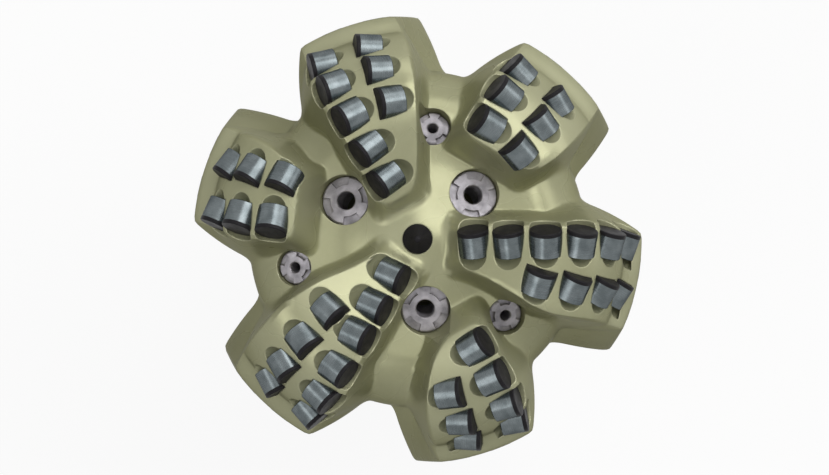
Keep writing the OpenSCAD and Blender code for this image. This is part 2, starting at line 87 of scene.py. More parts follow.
@dataclass(frozen=True)
class Sizes:
    """Driving sizes of the bit, the same as those of the construction."""

    # Cutting profile
    gauge_d: float = 222.25
    nose_r: float = 62.0
    cone_slope: float = 20.0
    nose_arc_r: float = 35.0
    gauge_l: float = 51.0

    # Blades
    exposure: float = 7.5
    blade_lead: float = 8.2
    gauge_lead: float = 2.8
    bend_r: float = 86.0
    wall_run: float = 4.5
    flare_r: float = 72.0
    flare_l: float = 40.0
    lead_flare: float = 17.5
    trail_flare: float = 10.0
    corner_l: float = 8.0
    edge_l: float = 1.5
    edge_step: float = 5.0
    foot_l: float = 3.4

    # Gauge pads and back taper
    heel_lean: float = 76.0
    pad_relief: float = 0.4
    pad_twist: float = 6.0
    pad_bevel: float = 12.0
    back_l: float = 52.0
    foot_h: float = 8.0

    # Floor between the blades
    slot_r: float = 83.5
    slot_lift: float = 4.0
    floor_drop: float = 37.0
    floor_share: float = 0.96
    centre_drop: float = 26.0
    dome_r: float = 45.0
    brow_r: float = 56.0
    brow_h: float = 36.0

    # Cutters
    cutter_d: float = 16.0
    cutter_l: float = 13.0
    table_t: float = 2.0
    back_rake: float = 20.0
    tip_lead: float = 1.9
    gauge_tip_lead: float = 1.2
    first_r: float = 18.8
    first_angle: float = 1.0
    last_angle: float = 78.4
    shoulder_pitch: float = 3.65
    backup_lag: float = 15.4
    lag_inset: float = 23.0
    lag_growth: float = 0.09
    backup_drop: float = 0.6
    braze_gap: float = 0.1

    # Centre element
    point_d: float = 14.5
    point_h: float = 7.5
    point_base_l: float = 13.0

    # Nozzles, with the radii behind the face as shares of the face's radius
    nozzle_recess: float = 3.0
    head_h: float = 9.0
    sleeve_l: float = 20.0
    tail_l: float = 7.0
    port_gap: float = 0.4
    thread_share: float = 0.78
    tail_share: float = 0.68
    inlet_share: float = 0.56

    # Gauge inserts
    insert_d: float = 11.0
    insert_l: float = 6.0
    insert_proud: float = 0.15

    # Shank, pin and weld
    shank_d: float = 146.0
    shank_l: float = 92.0
    flat_depth: float = 11.0
    flat_h: float = 63.5
    shoulder_bevel: float = 5.15
    bore_d: float = 57.15
    pin_l: float = 107.95
    pin_d: float = 117.48
    pin_base_d: float = 114.7
    pin_base_l: float = 12.7
    pin_taper: float = 0.25
    thread_pitch: float = 5.08
    thread_h: float = 3.0
    vee_depth: float = 10.0
    vee_half_w: float = 6.0
    bead_rise: float = 1.6

    @property
    def gauge_r(self) -> float:
        """Radius of the gauge."""
        return self.gauge_d / 2

    @property
    def pad_r(self) -> float:
        """Radius of the gauge pads."""
        return self.gauge_r - self.pad_relief

    @property
    def shoulder_r(self) -> float:
        """Radius of the arc from the nose to the gauge."""
        return self.gauge_r - self.nose_r

    @property
    def shank_r(self) -> float:
        """Radius of the shank."""
        return self.shank_d / 2

    @property
    def crown_z(self) -> float:
        """Height of the crown's foot."""
        return self.pin_l + self.shank_l

    @property
    def gauge_low_z(self) -> float:
        """Height of the lower end of the gauge."""
        return self.crown_z + self.back_l

    @property
    def gauge_top_z(self) -> float:
        """Height of the upper end of the gauge."""
        return self.gauge_low_z + self.gauge_l

    @property
    def nose_z(self) -> float:
        """Height of the nose of the cutting profile."""
        return self.gauge_top_z + self.shoulder_r

    @property
    def cone_r(self) -> float:
        """Radius at which the cone meets the nose arc."""
        return self.nose_r - self.nose_arc_r * math.sin(math.radians(self.cone_slope))

    @property
    def cone_z(self) -> float:
        """Height at which the cone meets the nose arc."""
        return self.nose_z - self.nose_arc_r * (1 - math.cos(math.radians(self.cone_slope)))

    @property
    def brow_z(self) -> float:
        """Height of the fluid courses where they turn down into the junk slots."""
        return self.nose_z - self.floor_drop

    @property
    def centre_z(self) -> float:
        """Height of the floor in the middle, where the centre element stands."""
        return self.nose_z - self.centre_drop

    @property
    def shoulder_count(self) -> int:
        """Number of cutters on the shoulder."""
        arc = self.shoulder_r * math.radians(self.last_angle - self.first_angle)
        return math.floor(arc / self.shoulder_pitch) + 1

    @property
    def seat_z(self) -> float:
        """Depth of a nozzle port below the fluid course, as a local height."""
        return -self.nozzle_recess - self.head_h - self.sleeve_l - self.tail_l


@dataclass(frozen=True)
class Blade:
    """Plan of one blade: its name, angle, inner end and trailing edge."""

    name: str
    angle: float
    inner: float
    edge_x: tuple[float, ...]
    edge_y: tuple[float, ...]


@dataclass(frozen=True)
class Jet:
    """Place of one nozzle: the blade behind it, its angle ahead of that blade and its radius."""

    name: str
    blade: int
    ahead: float
    radius: float
    size: NozzleSize


BLADES = (
    Blade("3", 0.0, 20.0, (20, 34, 50, 62, 92, 100), (14, 19.5, 29, 36.5, 41, 46)),
    Blade("2", 60.0, 55.5, (50, 62, 72, 90, 101), (29, 36.5, 41, 45, 45.5)),
    Blade("1", 120.0, 21.5, (21, 34, 52, 67, 88, 101), (12, 20, 30, 38, 45, 45.5)),
    Blade("6", 174.0, 60.0, (55, 64, 76, 88, 101), (27, 30, 38, 42, 46)),
    Blade("5", 239.5, 13.5, (14, 27, 42, 60, 86, 101), (13, 20, 32, 41, 46, 45.5)),
    Blade("4", 299.5, 48.5, (45, 52, 62, 77, 94, 101), (11, 19, 30, 39, 43.5, 46)),
)
CONE_ORDER = (4, 0, 2, 4, 0, 2, 4, 5)
JETS = (
    Jet("large_1", 2, 31.7, 40.7, NozzleSize.LARGE),
    Jet("large_2", 0, 38.5, 35.7, NozzleSize.LARGE),
    Jet("large_3", 4, 36.9, 35.3, NozzleSize.LARGE),
    Jet("small_1", 1, 22.2, 56.3, NozzleSize.SMALL),
    Jet("small_2", 5, 19.5, 58.6, NozzleSize.SMALL),
    Jet("small_3", 3, 19.1, 63.1, NozzleSize.SMALL),
)


def ease(x: np.ndarray | float) -> np.ndarray | float:
    """Smooth step from 0 at x = 0 to 1 at x = 1."""
    u = np.clip(x, 0, 1)
    return u * u * (3 - 2 * u)


def mix(a: float, b: float, t: np.ndarray | float) -> np.ndarray | float:
    """Value a share t of the way from a to b."""
    return a + (b - a) * t


def soft_min(a: np.ndarray, b: np.ndarray | float, k: np.ndarray | float) -> np.ndarray:
    """Minimum of a and b with its corner rounded over the width k."""
    h = np.maximum(k - np.abs(a - b), 0)
    return np.minimum(a, b) - h * h / k / 4


def turned(axis: str, degrees: float) -> Matrix:
    """Rotation about an axis."""
    return Matrix.Rotation(math.radians(degrees), 4, axis)


@dataclass
class Profile:
    """The cutting profile, the blades that follow it and the floor between them.

    Stations along the profile are 0 at the axis, 1 at the end of the cone, 2 at the nose, 3 at the top
    of the gauge, 4 at its foot, 5 after the bevel, 6 after the back taper and 7 at the crown's foot.
    """

    sizes: Sizes

    def lean(self, s: np.ndarray) -> np.ndarray:
        """Lean of the profile's normal from the axis at the stations s."""
        slope = self.sizes.cone_slope
        return np.where(s < 1, -slope, np.where(s < 2, (s - 2) * slope, (s - 2) * 90))

    def heel_rise(self, lean: np.ndarray | float) -> np.ndarray | float:
        """Share by which the blade tops have risen to the gauge pads where the profile leans so far."""
        return ease((lean - self.sizes.heel_lean) / (90 - self.sizes.heel_lean))

    def face_point(self, s: np.ndarray, depth: np.ndarray | float) -> tuple[np.ndarray, np.ndarray]:
        """Radius and height of the profile, moved inward by the depth.

        Args:
            s: Stations from 0 to 3.
            depth: Distance below the cutting profile.

        Returns:
            The radii and the heights.
        """
        sizes = self.sizes
        slope = math.radians(sizes.cone_slope)
        end_r = sizes.cone_r + depth * math.sin(slope)
        cone_r = s * end_r
        cone_h = sizes.cone_z - depth * math.cos(slope) - (end_r - cone_r) * math.tan(slope)
        lean = np.radians(self.lean(s))
        arc = np.where(s < 2, sizes.nose_arc_r, sizes.shoulder_r)
        arc_r = sizes.nose_r + (arc - depth) * np.sin(lean)
        arc_h = sizes.nose_z - arc + (arc - depth) * np.cos(lean)
        return np.where(s < 1, cone_r, arc_r), np.where(s < 1, cone_h, arc_h)

    def blade_point(self, s: np.ndarray) -> tuple[np.ndarray, np.ndarray]:
        """Radius and height of the blade tops.

        Args:
            s: Stations from 0 to 7.

        Returns:
            The radii and the heights.
        """
        sizes = self.sizes
        rise = self.heel_rise(self.lean(s))
        depth = np.where(s < 2, sizes.exposure, mix(sizes.exposure, sizes.pad_relief, rise))
        face_r, face_h = self.face_point(np.minimum(s, 3), depth)
        bevel_r = sizes.pad_r - sizes.pad_bevel
        bevel_z = sizes.gauge_low_z - sizes.pad_bevel
        slope_z = sizes.crown_z + sizes.foot_h
        marks = (3, 4, 5, 6, 7)
        r = np.interp(s, marks, (sizes.pad_r, sizes.pad_r, bevel_r, sizes.shank_r, sizes.shank_r))
        h = np.interp(s, marks, (sizes.gauge_top_z, sizes.gauge_low_z, bevel_z, slope_z, sizes.crown_z))
        return np.where(s < 3, face_r, r), np.where(s < 3, face_h, h)

    def course_z(self, r: np.ndarray | float) -> np.ndarray | float:
        """Height of the fluid courses.

        Args:
            r: Distance from the axis.

        Returns:
            The height at that distance.
        """
        sizes = self.sizes
        r = np.asarray(r)
        dish = sizes.nose_z - mix(sizes.centre_drop, sizes.floor_drop, ease(r / sizes.dome_r))
        t = (r - sizes.brow_r) / (sizes.slot_r - sizes.brow_r)
        brow = sizes.brow_z - sizes.brow_h * (1 - np.sqrt(np.clip(1 - t * t, 0, 1)))
        return np.where(r < sizes.brow_r, dish, brow)

    def floor_point(self, s: np.ndarray) -> tuple[np.ndarray, np.ndarray]:
        """Radius and height of the floor between the blades.

        Args:
            s: Stations from 0 to 7.

        Returns:
            The radii and the heights.
        """
        sizes = self.sizes
        lean = np.radians(self.lean(s))
        face_r = np.interp(s, (0, 1, 2), (0, sizes.cone_r * sizes.floor_share, sizes.brow_r))
        over_r = mix(sizes.brow_r, sizes.slot_r, np.sin(lean))
        over_h = sizes.brow_z - sizes.brow_h * (1 - np.cos(lean))
        back_r = mix(sizes.slot_r, sizes.shank_r, ease(s - 5))
        slot_top_z = sizes.brow_z - sizes.brow_h
        slot_low_z = sizes.gauge_low_z - sizes.pad_bevel + sizes.slot_lift
        slope_z = sizes.crown_z + sizes.foot_h
        back_h = np.interp(s, (3, 5, 6, 7), (slot_top_z, slot_low_z, slope_z, sizes.crown_z))
        r = np.where(s < 2, face_r, np.where(s < 3, over_r, back_r))
        h = np.where(s < 2, self.course_z(face_r), np.where(s < 3, over_h, back_h))
        return r, h

    def twist(self, s: np.ndarray) -> np.ndarray:
        """Angle by which the pads have wound back at the stations s."""
        return self.sizes.pad_twist * np.clip(s - 3, 0, 1)

    def reach(self, s: np.ndarray) -> np.ndarray:
        """Radius that sets the plan of the blades at the stations s."""
        return np.where(s < 3, self.blade_point(np.minimum(s, 3))[0], self.sizes.pad_r)

    def bend(self, r: np.ndarray | float) -> np.ndarray | float:
        """Share by which the blades have bent back to the gauge at the radius r."""
        return ease((r - self.sizes.bend_r) / (self.sizes.gauge_r - self.sizes.bend_r))

    def lead_edge(self, r: np.ndarray) -> np.ndarray:
        """Distance of the leading edge ahead of a blade's centre line at the radius r."""
        return mix(self.sizes.blade_lead, self.sizes.gauge_lead, self.bend(r))

    def trail_edge(self, blade: Blade, x: np.ndarray) -> np.ndarray:
        """Place of a blade's trailing edge, its corners eased.

        Args:
            blade: The blade.
            x: Distances out along the blade.

        Returns:
            The distances ahead of the blade's centre line, which are negative.
        """
        step = self.sizes.edge_step
        samples = [np.interp(x + d, blade.edge_x, blade.edge_y) for d in (-step, 0, step)]
        return -sum(samples) / len(samples)

    def run(self, s: np.ndarray, flare: float) -> np.ndarray:
        """Width of a wall's slope, which grows by the flare towards the gauge."""
        sizes = self.sizes
        return sizes.wall_run + flare * ease((self.reach(s) - sizes.flare_r) / sizes.flare_l)

    def blade_height(self, blade: Blade, s: np.ndarray, angle: np.ndarray) -> np.ndarray:
        """How far the surface stands out to a blade: 0 on the floor and 1 on the blade's top.

        Args:
            blade: The blade.
            s: Stations, one for each row.
            angle: Angles in degrees, one row for each station.

        Returns:
            The share for each row and column.
        """
        sizes = self.sizes
        turn = np.radians(angle - blade.angle + self.twist(s)[:, None])
        r = self.reach(s)[:, None]
        x = r * np.cos(turn)
        y = r * np.sin(turn)
        front = self.lead_edge(r)
        back = self.trail_edge(blade, x)
        across = soft_min(front - y, y - back, sizes.corner_l)
        inside = soft_min(across, x - blade.inner, sizes.corner_l)
        lead_run, trail_run = self.run(s, sizes.lead_flare), self.run(s, sizes.trail_flare)
        run = np.where(y > (front + back) / 2, lead_run[:, None], trail_run[:, None])
        height = soft_min(1 + inside / run, np.ones_like(x), sizes.edge_l / run)
        height = -soft_min(-height, np.zeros_like(x), sizes.foot_l / run)
        return np.where(x < 0, 0, height)

    def surface(self, s: np.ndarray, angle: np.ndarray) -> np.ndarray:
        """Points of the crown's skin.

        Args:
            s: Stations, one for each row.
            angle: Angles in degrees, one row for each station.

        Returns:
            An array of points, row by row.
        """
        low = np.ones_like(angle)
        for blade in BLADES:
            low = low * (1 - self.blade_height(blade, s, angle))
        top_r, top_h = self.blade_point(s)
        floor_r, floor_h = self.floor_point(s)
        r = mix(top_r[:, None], floor_r[:, None], low)
        h = mix(top_h[:, None], floor_h[:, None], low)
        turn = np.radians(angle)
        return np.stack([r * np.cos(turn), r * np.sin(turn), h], -1)


def ring_points(r: np.ndarray | float, h: float, turn: np.ndarray) -> np.ndarray:
    """Points at the radius r and the height h, one for each angle in radians."""
    return np.stack([r * np.cos(turn), r * np.sin(turn), np.full(len(turn), h)], -1)


def bands(rings: int, sides: int, closed: bool = False, downward: bool = False, first: int = 0) -> Faces:
    """Faces between each ring of points and the next.

    Args:
        rings: How many rings there are.
        sides: How many points each ring has.
        closed: Whether the last ring joins the first.
        downward: Whether the rings run down the outside of the shape, so that the faces turn over.
        first: Number of the first point.

    Returns:
        The faces as tuples of point numbers.
    """
    j = np.arange(sides)
    k = (j + 1) % sides
    faces = []
    for i in range(rings if closed else rings - 1):
        here, after = first + i * sides, first + (i + 1) % rings * sides
        if downward:
            faces += zip(here + j, after + j, after + k, here + k)
        else:
            faces += zip(here + j, here + k, after + k, after + j)
    return faces


@dataclass
class SkinGrid:
    """Grid of rows and columns over the crown, its columns drawn to the feet and edges of the blades.

    The columns are even within even_r of the axis, and follow the blades from follow_r on. Inside
    marks_r the blades' marks keep the angles they have there. A trailing edge lies trail_share of the
    distance out along its blade, and no further behind the blade than the sine trail_sine. The feet
    stay between trail_limit and lead_limit.
    """

    profile: Profile
    column_steps: tuple[int, ...] = (14, 20, 14, 22)
    row_steps: tuple[int, ...] = (56, 12, 58, 16, 5, 14)
    even_r: float = 14.0
    follow_r: float = 48.0
    marks_r: float = 42.0
    trail_share: float = 0.85
    trail_sine: float = -0.56
    trail_limit: float = -36.0
    lead_limit: float = 17.0
    start_angle: float = -37.0

    def rows(self) -> np.ndarray:
        """Stations of the rows from near the axis to the crown's foot."""
        stations = [i + (np.arange(n) + 1) / n for i, n in enumerate(self.row_steps)]
        return np.concatenate([*stations, [len(stations) + 1.0]])

    def columns(self, s: np.ndarray) -> np.ndarray:
        """Angles of the columns at each row.

        Args:
            s: Stations of the rows.

        Returns:
            Angles in degrees, one row for each station.
        """
        shape, sizes = self.profile, self.profile.sizes
        r = np.maximum(shape.reach(s), self.marks_r)
        lead = np.degrees(np.arcsin(shape.lead_edge(r) / r))
        lead_run = np.degrees(np.arcsin(shape.run(s, sizes.lead_flare) / r))
        lead_foot = np.minimum(self.lead_limit, lead + lead_run)
        trail_run = np.degrees(np.arcsin(shape.run(s, sizes.trail_flare) / r))
        marks = []
        for blade in BLADES:
            sine = np.clip(shape.trail_edge(blade, r * self.trail_share) / r, self.trail_sine, 0)
            trail = np.degrees(np.arcsin(sine))
            trail_foot = np.maximum(self.trail_limit, trail - trail_run)
            across = np.stack([trail_foot, trail, lead, lead_foot], -1)
            marks.append(across + (blade.angle - shape.twist(s))[:, None])
        marks.append(marks[0][:, :1] + 360)
        marks = np.concatenate(marks, axis=1)
        knots = np.concatenate([[0], np.cumsum(self.column_steps * len(BLADES))])
        index = np.arange(knots[-1])
        goal = np.stack([np.interp(index, knots, row) for row in marks])
        even = self.start_angle + index * 360 / len(index)
        share = ease((shape.reach(s) - self.even_r) / (self.follow_r - self.even_r))
        return mix(even[None, :], goal, share[:, None])

    def mesh(self) -> tuple[np.ndarray, Faces]:
        """Closed mesh of the whole crown.

        Returns:
            The points and the faces.
        """
        s = self.rows()
        angle = self.columns(s)
        ring = self.profile.surface(s, angle)
        rows, cols = angle.shape
        top = self.profile.surface(np.array([0.0]), np.zeros((1, 1)))[0]
        foot = np.array([[0, 0, self.profile.sizes.crown_z]])
        points = np.concatenate([top, ring.reshape(-1, 3), foot])
        j = np.arange(cols)
        k = (j + 1) % cols
        last = 1 + (rows - 1) * cols
        faces = [(0, 1 + a, 1 + b) for a, b in zip(j, k)]
        faces += bands(rows, cols, downward=True, first=1)
        faces += [(len(points) - 1, last + b, last + a) for a, b in zip(j, k)]
        return points, faces


class Draft:
    """A mesh in the making: closed shells of points and faces, with texture coordinates."""

    def __init__(self) -> None:
        """Starts empty."""
        self.points: list[np.ndarray] = []
        self.faces: Faces = []
        self.uvs: list[Outline] = []
        self.count = 0

    def add(self, points: np.ndarray, faces: Faces, place: Matrix | None = None,
            uvs: list[Outline] | None = None) -> None:
        """Adds one closed shell.

        Args:
            points: Points in millimetres.
            faces: Faces as tuples of point numbers.
            place: Where the shell goes, or None for as it is.
            uvs: Texture coordinates for each face, or None.
        """
        if place is not None:
            turn = np.array(place)
            points = points @ turn[:3, :3].T + turn[:3, 3]
        self.points.append(points)
        self.faces += [tuple(int(i) + self.count for i in face) for face in faces]
        self.uvs += uvs if uvs is not None else [[(0.0, 0.0)] * len(face) for face in faces]
        self.count += len(points)

    def lathe(self, profile: Outline, place: Matrix | None = None, sides: int = 64) -> None:
        """Turns a profile round the local Z axis.

        Args:
            profile: Radius and height of each point, anticlockwise with the radius to the right.
                It starts and ends on the axis, or else it is closed into a ring.
            place: Where the turned shell goes.
            sides: How many sides the circle has.
        """
        solid = profile[0][0] == 0
        inner = profile[1:-1] if solid else profile
        turn = np.arange(sides) * 2 * math.pi / sides
        points = np.concatenate([ring_points(r, h, turn) for r, h in inner])
        faces = bands(len(inner), sides, closed=not solid)
        lengths = np.cumsum([0] + [math.dist(a, b) for a, b in zip(inner, inner[1:] + inner[:1])])
        spans = list(zip(lengths, lengths[1:]))[:len(faces) // sides]
        uvs = [[(j / sides, a), ((j + 1) / sides, a), ((j + 1) / sides, b), (j / sides, b)]
               for a, b in spans for j in range(sides)]
        if solid:
            low, high = len(points), len(points) + 1
            points = np.concatenate([points, [[0, 0, profile[0][1]], [0, 0, profile[-1][1]]]])
            top = (len(inner) - 1) * sides
            end = lengths[-2]
            for j in range(sides):
                k = (j + 1) % sides
                u = j / sides
                faces += [(low, k, j), (high, top + j, top + k)]
                uvs.append([(u, -inner[0][0]), (u, 0.0), (u, 0.0)])
                uvs.append([(u, end + inner[-1][0]), (u, end), (u, end)])
        self.add(points, faces, place, uvs)

    def block(self, low: tuple[float, float, float], high: tuple[float, float, float],
              place: Matrix | None = None) -> None:
        """Adds a block, for a cut.

        Args:
            low: Its lowest corner.
            high: Its highest corner.
            place: Where the block goes, or None for as it is.
        """
        corners = [(x, y, h) for h in (low[2], high[2]) for y in (low[1], high[1])
                   for x in (low[0], high[0])]
        faces = [(0, 2, 3, 1), (4, 5, 7, 6), (0, 1, 5, 4), (2, 6, 7, 3), (0, 4, 6, 2), (1, 3, 7, 5)]
        self.add(np.array(corners, float), faces, place)

    def to_object(self, name: str, sharp: float = 36.0) -> Item:
        """Makes the Blender object, in metres.

        Args:
            name: Name of the object.
            sharp: Edges that bend by more degrees than this stay sharp.

        Returns:
            The new object, in the scene.
        """
        mesh = bpy.data.meshes.new(name)
        mesh.from_pydata((np.concatenate(self.points) * MM).tolist(), [], self.faces)
        layer = mesh.uv_layers.new(name="Turned")
        flat = [c for face in self.uvs for uv in face for c in uv]
        layer.data.foreach_set("uv", np.array(flat, np.float32))
        mesh.validate()
        item = bpy.data.objects.new(name, mesh)
        bpy.context.scene.collection.objects.link(item)
        smooth(item, sharp)
        return item


def smooth(item: Item, sharp: float) -> None:
    """Shades an object smooth, apart from its sharp edges.

    Args:
        item: The object.
        sharp: Edges that bend by more degrees than this stay sharp.
    """
    mesh = item.data
    mesh.polygons.foreach_set("use_smooth", np.ones(len(mesh.polygons), bool))
    mesh.set_sharp_from_angle(angle=math.radians(sharp))


def cut(item: Item, tools: list[Draft], sharp: float = 36.0) -> None:
    """Cuts the shapes of the drafts out of an object.

    Args:
        item: The object to cut.
        tools: Drafts of closed shells that don't meet inside one draft.
        sharp: Edges that bend by more degrees than this stay sharp.
    """
    for number, tool in enumerate(tools):
        knife = tool.to_object(f"{item.name}_knife_{number}")
        step = item.modifiers.new("cut", "BOOLEAN")
        step.operation = "DIFFERENCE"
        step.solver = "MANIFOLD"
        step.object = knife
        graph = bpy.context.evaluated_depsgraph_get()
        mesh = bpy.data.meshes.new_from_object(item.evaluated_get(graph))
        item.modifiers.clear()
        old = item.data
        item.data = mesh
        bpy.data.meshes.remove(old)
        spent = knife.data
        bpy.data.objects.remove(knife)
        bpy.data.meshes.remove(spent)
    item.data.name = item.name
    smooth(item, sharp)


def cylinder(r: float, low: float, high: float) -> Outline:
    """Lathe profile of a plain cylinder."""
    return [(0, low), (r, low), (r, high), (0, high)]


@dataclass
class Layout:
    """Where the cutters, nozzles and gauge inserts sit."""

    sizes: Sizes
    profile: Profile
    insert_rows: tuple[float, ...] = (0.18, 0.5, 0.82)
    insert_columns: tuple[float, ...] = (6.5, 17.5)

    @property
    def count(self) -> int:
        """Number of primary cutters."""
        return len(CONE_ORDER) + self.sizes.shoulder_count

    def station(self, n: int) -> float:
        """Station of a cutter along the profile.

        Args:
            n: Number of the cutter, counted from the centre.

        Returns:
            The station.
        """
        sizes = self.sizes
        if n >= len(CONE_ORDER):
            share = (n - len(CONE_ORDER)) / (sizes.shoulder_count - 1)
            return 2 + mix(sizes.first_angle, sizes.last_angle, share) / 90
        r = mix(sizes.first_r, sizes.nose_r, n / (len(CONE_ORDER) - 0.5))
        if r < sizes.cone_r:
            return r / sizes.cone_r
        return 2 - math.degrees(math.asin((sizes.nose_r - r) / sizes.nose_arc_r)) / sizes.cone_slope

    def lean(self, n: int) -> float:
        """Lean of the profile's normal at cutter n."""
        return float(self.profile.lean(np.array([self.station(n)]))[0])

    def blade(self, n: int) -> int:
        """Number of the blade that carries cutter n."""
        first = len(CONE_ORDER)
        return CONE_ORDER[n] if n < first else (n - first) % len(BLADES)

    def has_row(self, n: int, row: CutterRow) -> bool:
        """Whether cutter n has a cutter in the given row."""
        return row is CutterRow.PRIMARY or n >= len(CONE_ORDER) or n == len(CONE_ORDER) - 2

    def cutters(self, blade: int, row: CutterRow) -> list[Matrix]:
        """Places of the cutters in one row of a blade."""
        found = [n for n in range(self.count) if self.blade(n) == blade and self.has_row(n, row)]
        return [self.cutter_place(n, row) for n in found]

    def tip_place(self, n: int, row: CutterRow) -> Matrix:
        """Place of a cutter's tip.

        Args:
            n: Number of the cutter, counted from the centre.
            row: Row of the cutter.

        Returns:
            The place, with local +Z out of the profile and +Y ahead.
        """
        sizes = self.sizes
        back = row is CutterRow.BACKUP
        s = np.array([self.station(n)])
        r, h = (float(v[0]) for v in self.profile.face_point(s, sizes.backup_drop if back else 0.0))
        angle = BLADES[self.blade(n)].angle
        if back:
            angle -= sizes.backup_lag + sizes.lag_growth * (sizes.gauge_r - sizes.lag_inset - r)
        side = mix(sizes.tip_lead, sizes.gauge_tip_lead, float(self.profile.bend(r)))
        return turned("Z", angle) @ Matrix.Translation((r, side, h)) @ turned("Y", self.lean(n))

    def cutter_place(self, n: int, row: CutterRow) -> Matrix:
        """Place of a cutter: its face is at local z = 0, looks along +Z and cuts at -Y."""
        lift = Matrix.Translation((0, self.sizes.cutter_d / 2, 0))
        return self.tip_place(n, row) @ turned("X", self.sizes.back_rake - 90) @ lift

    def tip_height(self, n: int, row: CutterRow) -> float:
        """Height of a cutter's tip above the blade's top.

        Args:
            n: Number of the cutter, counted from the centre.
            row: Row of the cutter.

        Returns:
            The height.
        """
        sizes = self.sizes
        depth = mix(sizes.exposure, sizes.pad_relief, float(self.profile.heel_rise(self.lean(n))))
        return depth - (sizes.backup_drop if row is CutterRow.BACKUP else 0.0)

    def inserts(self, blade: int) -> list[Matrix]:
        """Places of the carbide discs in a gauge pad.

        Args:
            blade: Number of the blade.

        Returns:
            The places, with local +Z out of the pad.
        """
        sizes = self.sizes
        foot_r = sizes.pad_r + sizes.insert_proud - sizes.insert_l
        places = []
        for row in self.insert_rows:
            for column in self.insert_columns:
                angle = BLADES[blade].angle - column - sizes.pad_twist * row
                height = mix(sizes.gauge_top_z, sizes.gauge_low_z, row)
                seat_place = Matrix.Translation((foot_r, 0, height))
                places.append(turned("Z", angle) @ seat_place @ turned("Y", 90))
        return places

    def nozzle_place(self, jet: Jet) -> Matrix:
        """Place of a nozzle: local z = 0 is the fluid course and +Z is the jet."""
        stand = Matrix.Translation((jet.radius, 0, float(self.profile.course_z(jet.radius))))
        return turned("Z", BLADES[jet.blade].angle + jet.ahead) @ stand @ turned("Y", jet.size.lean)


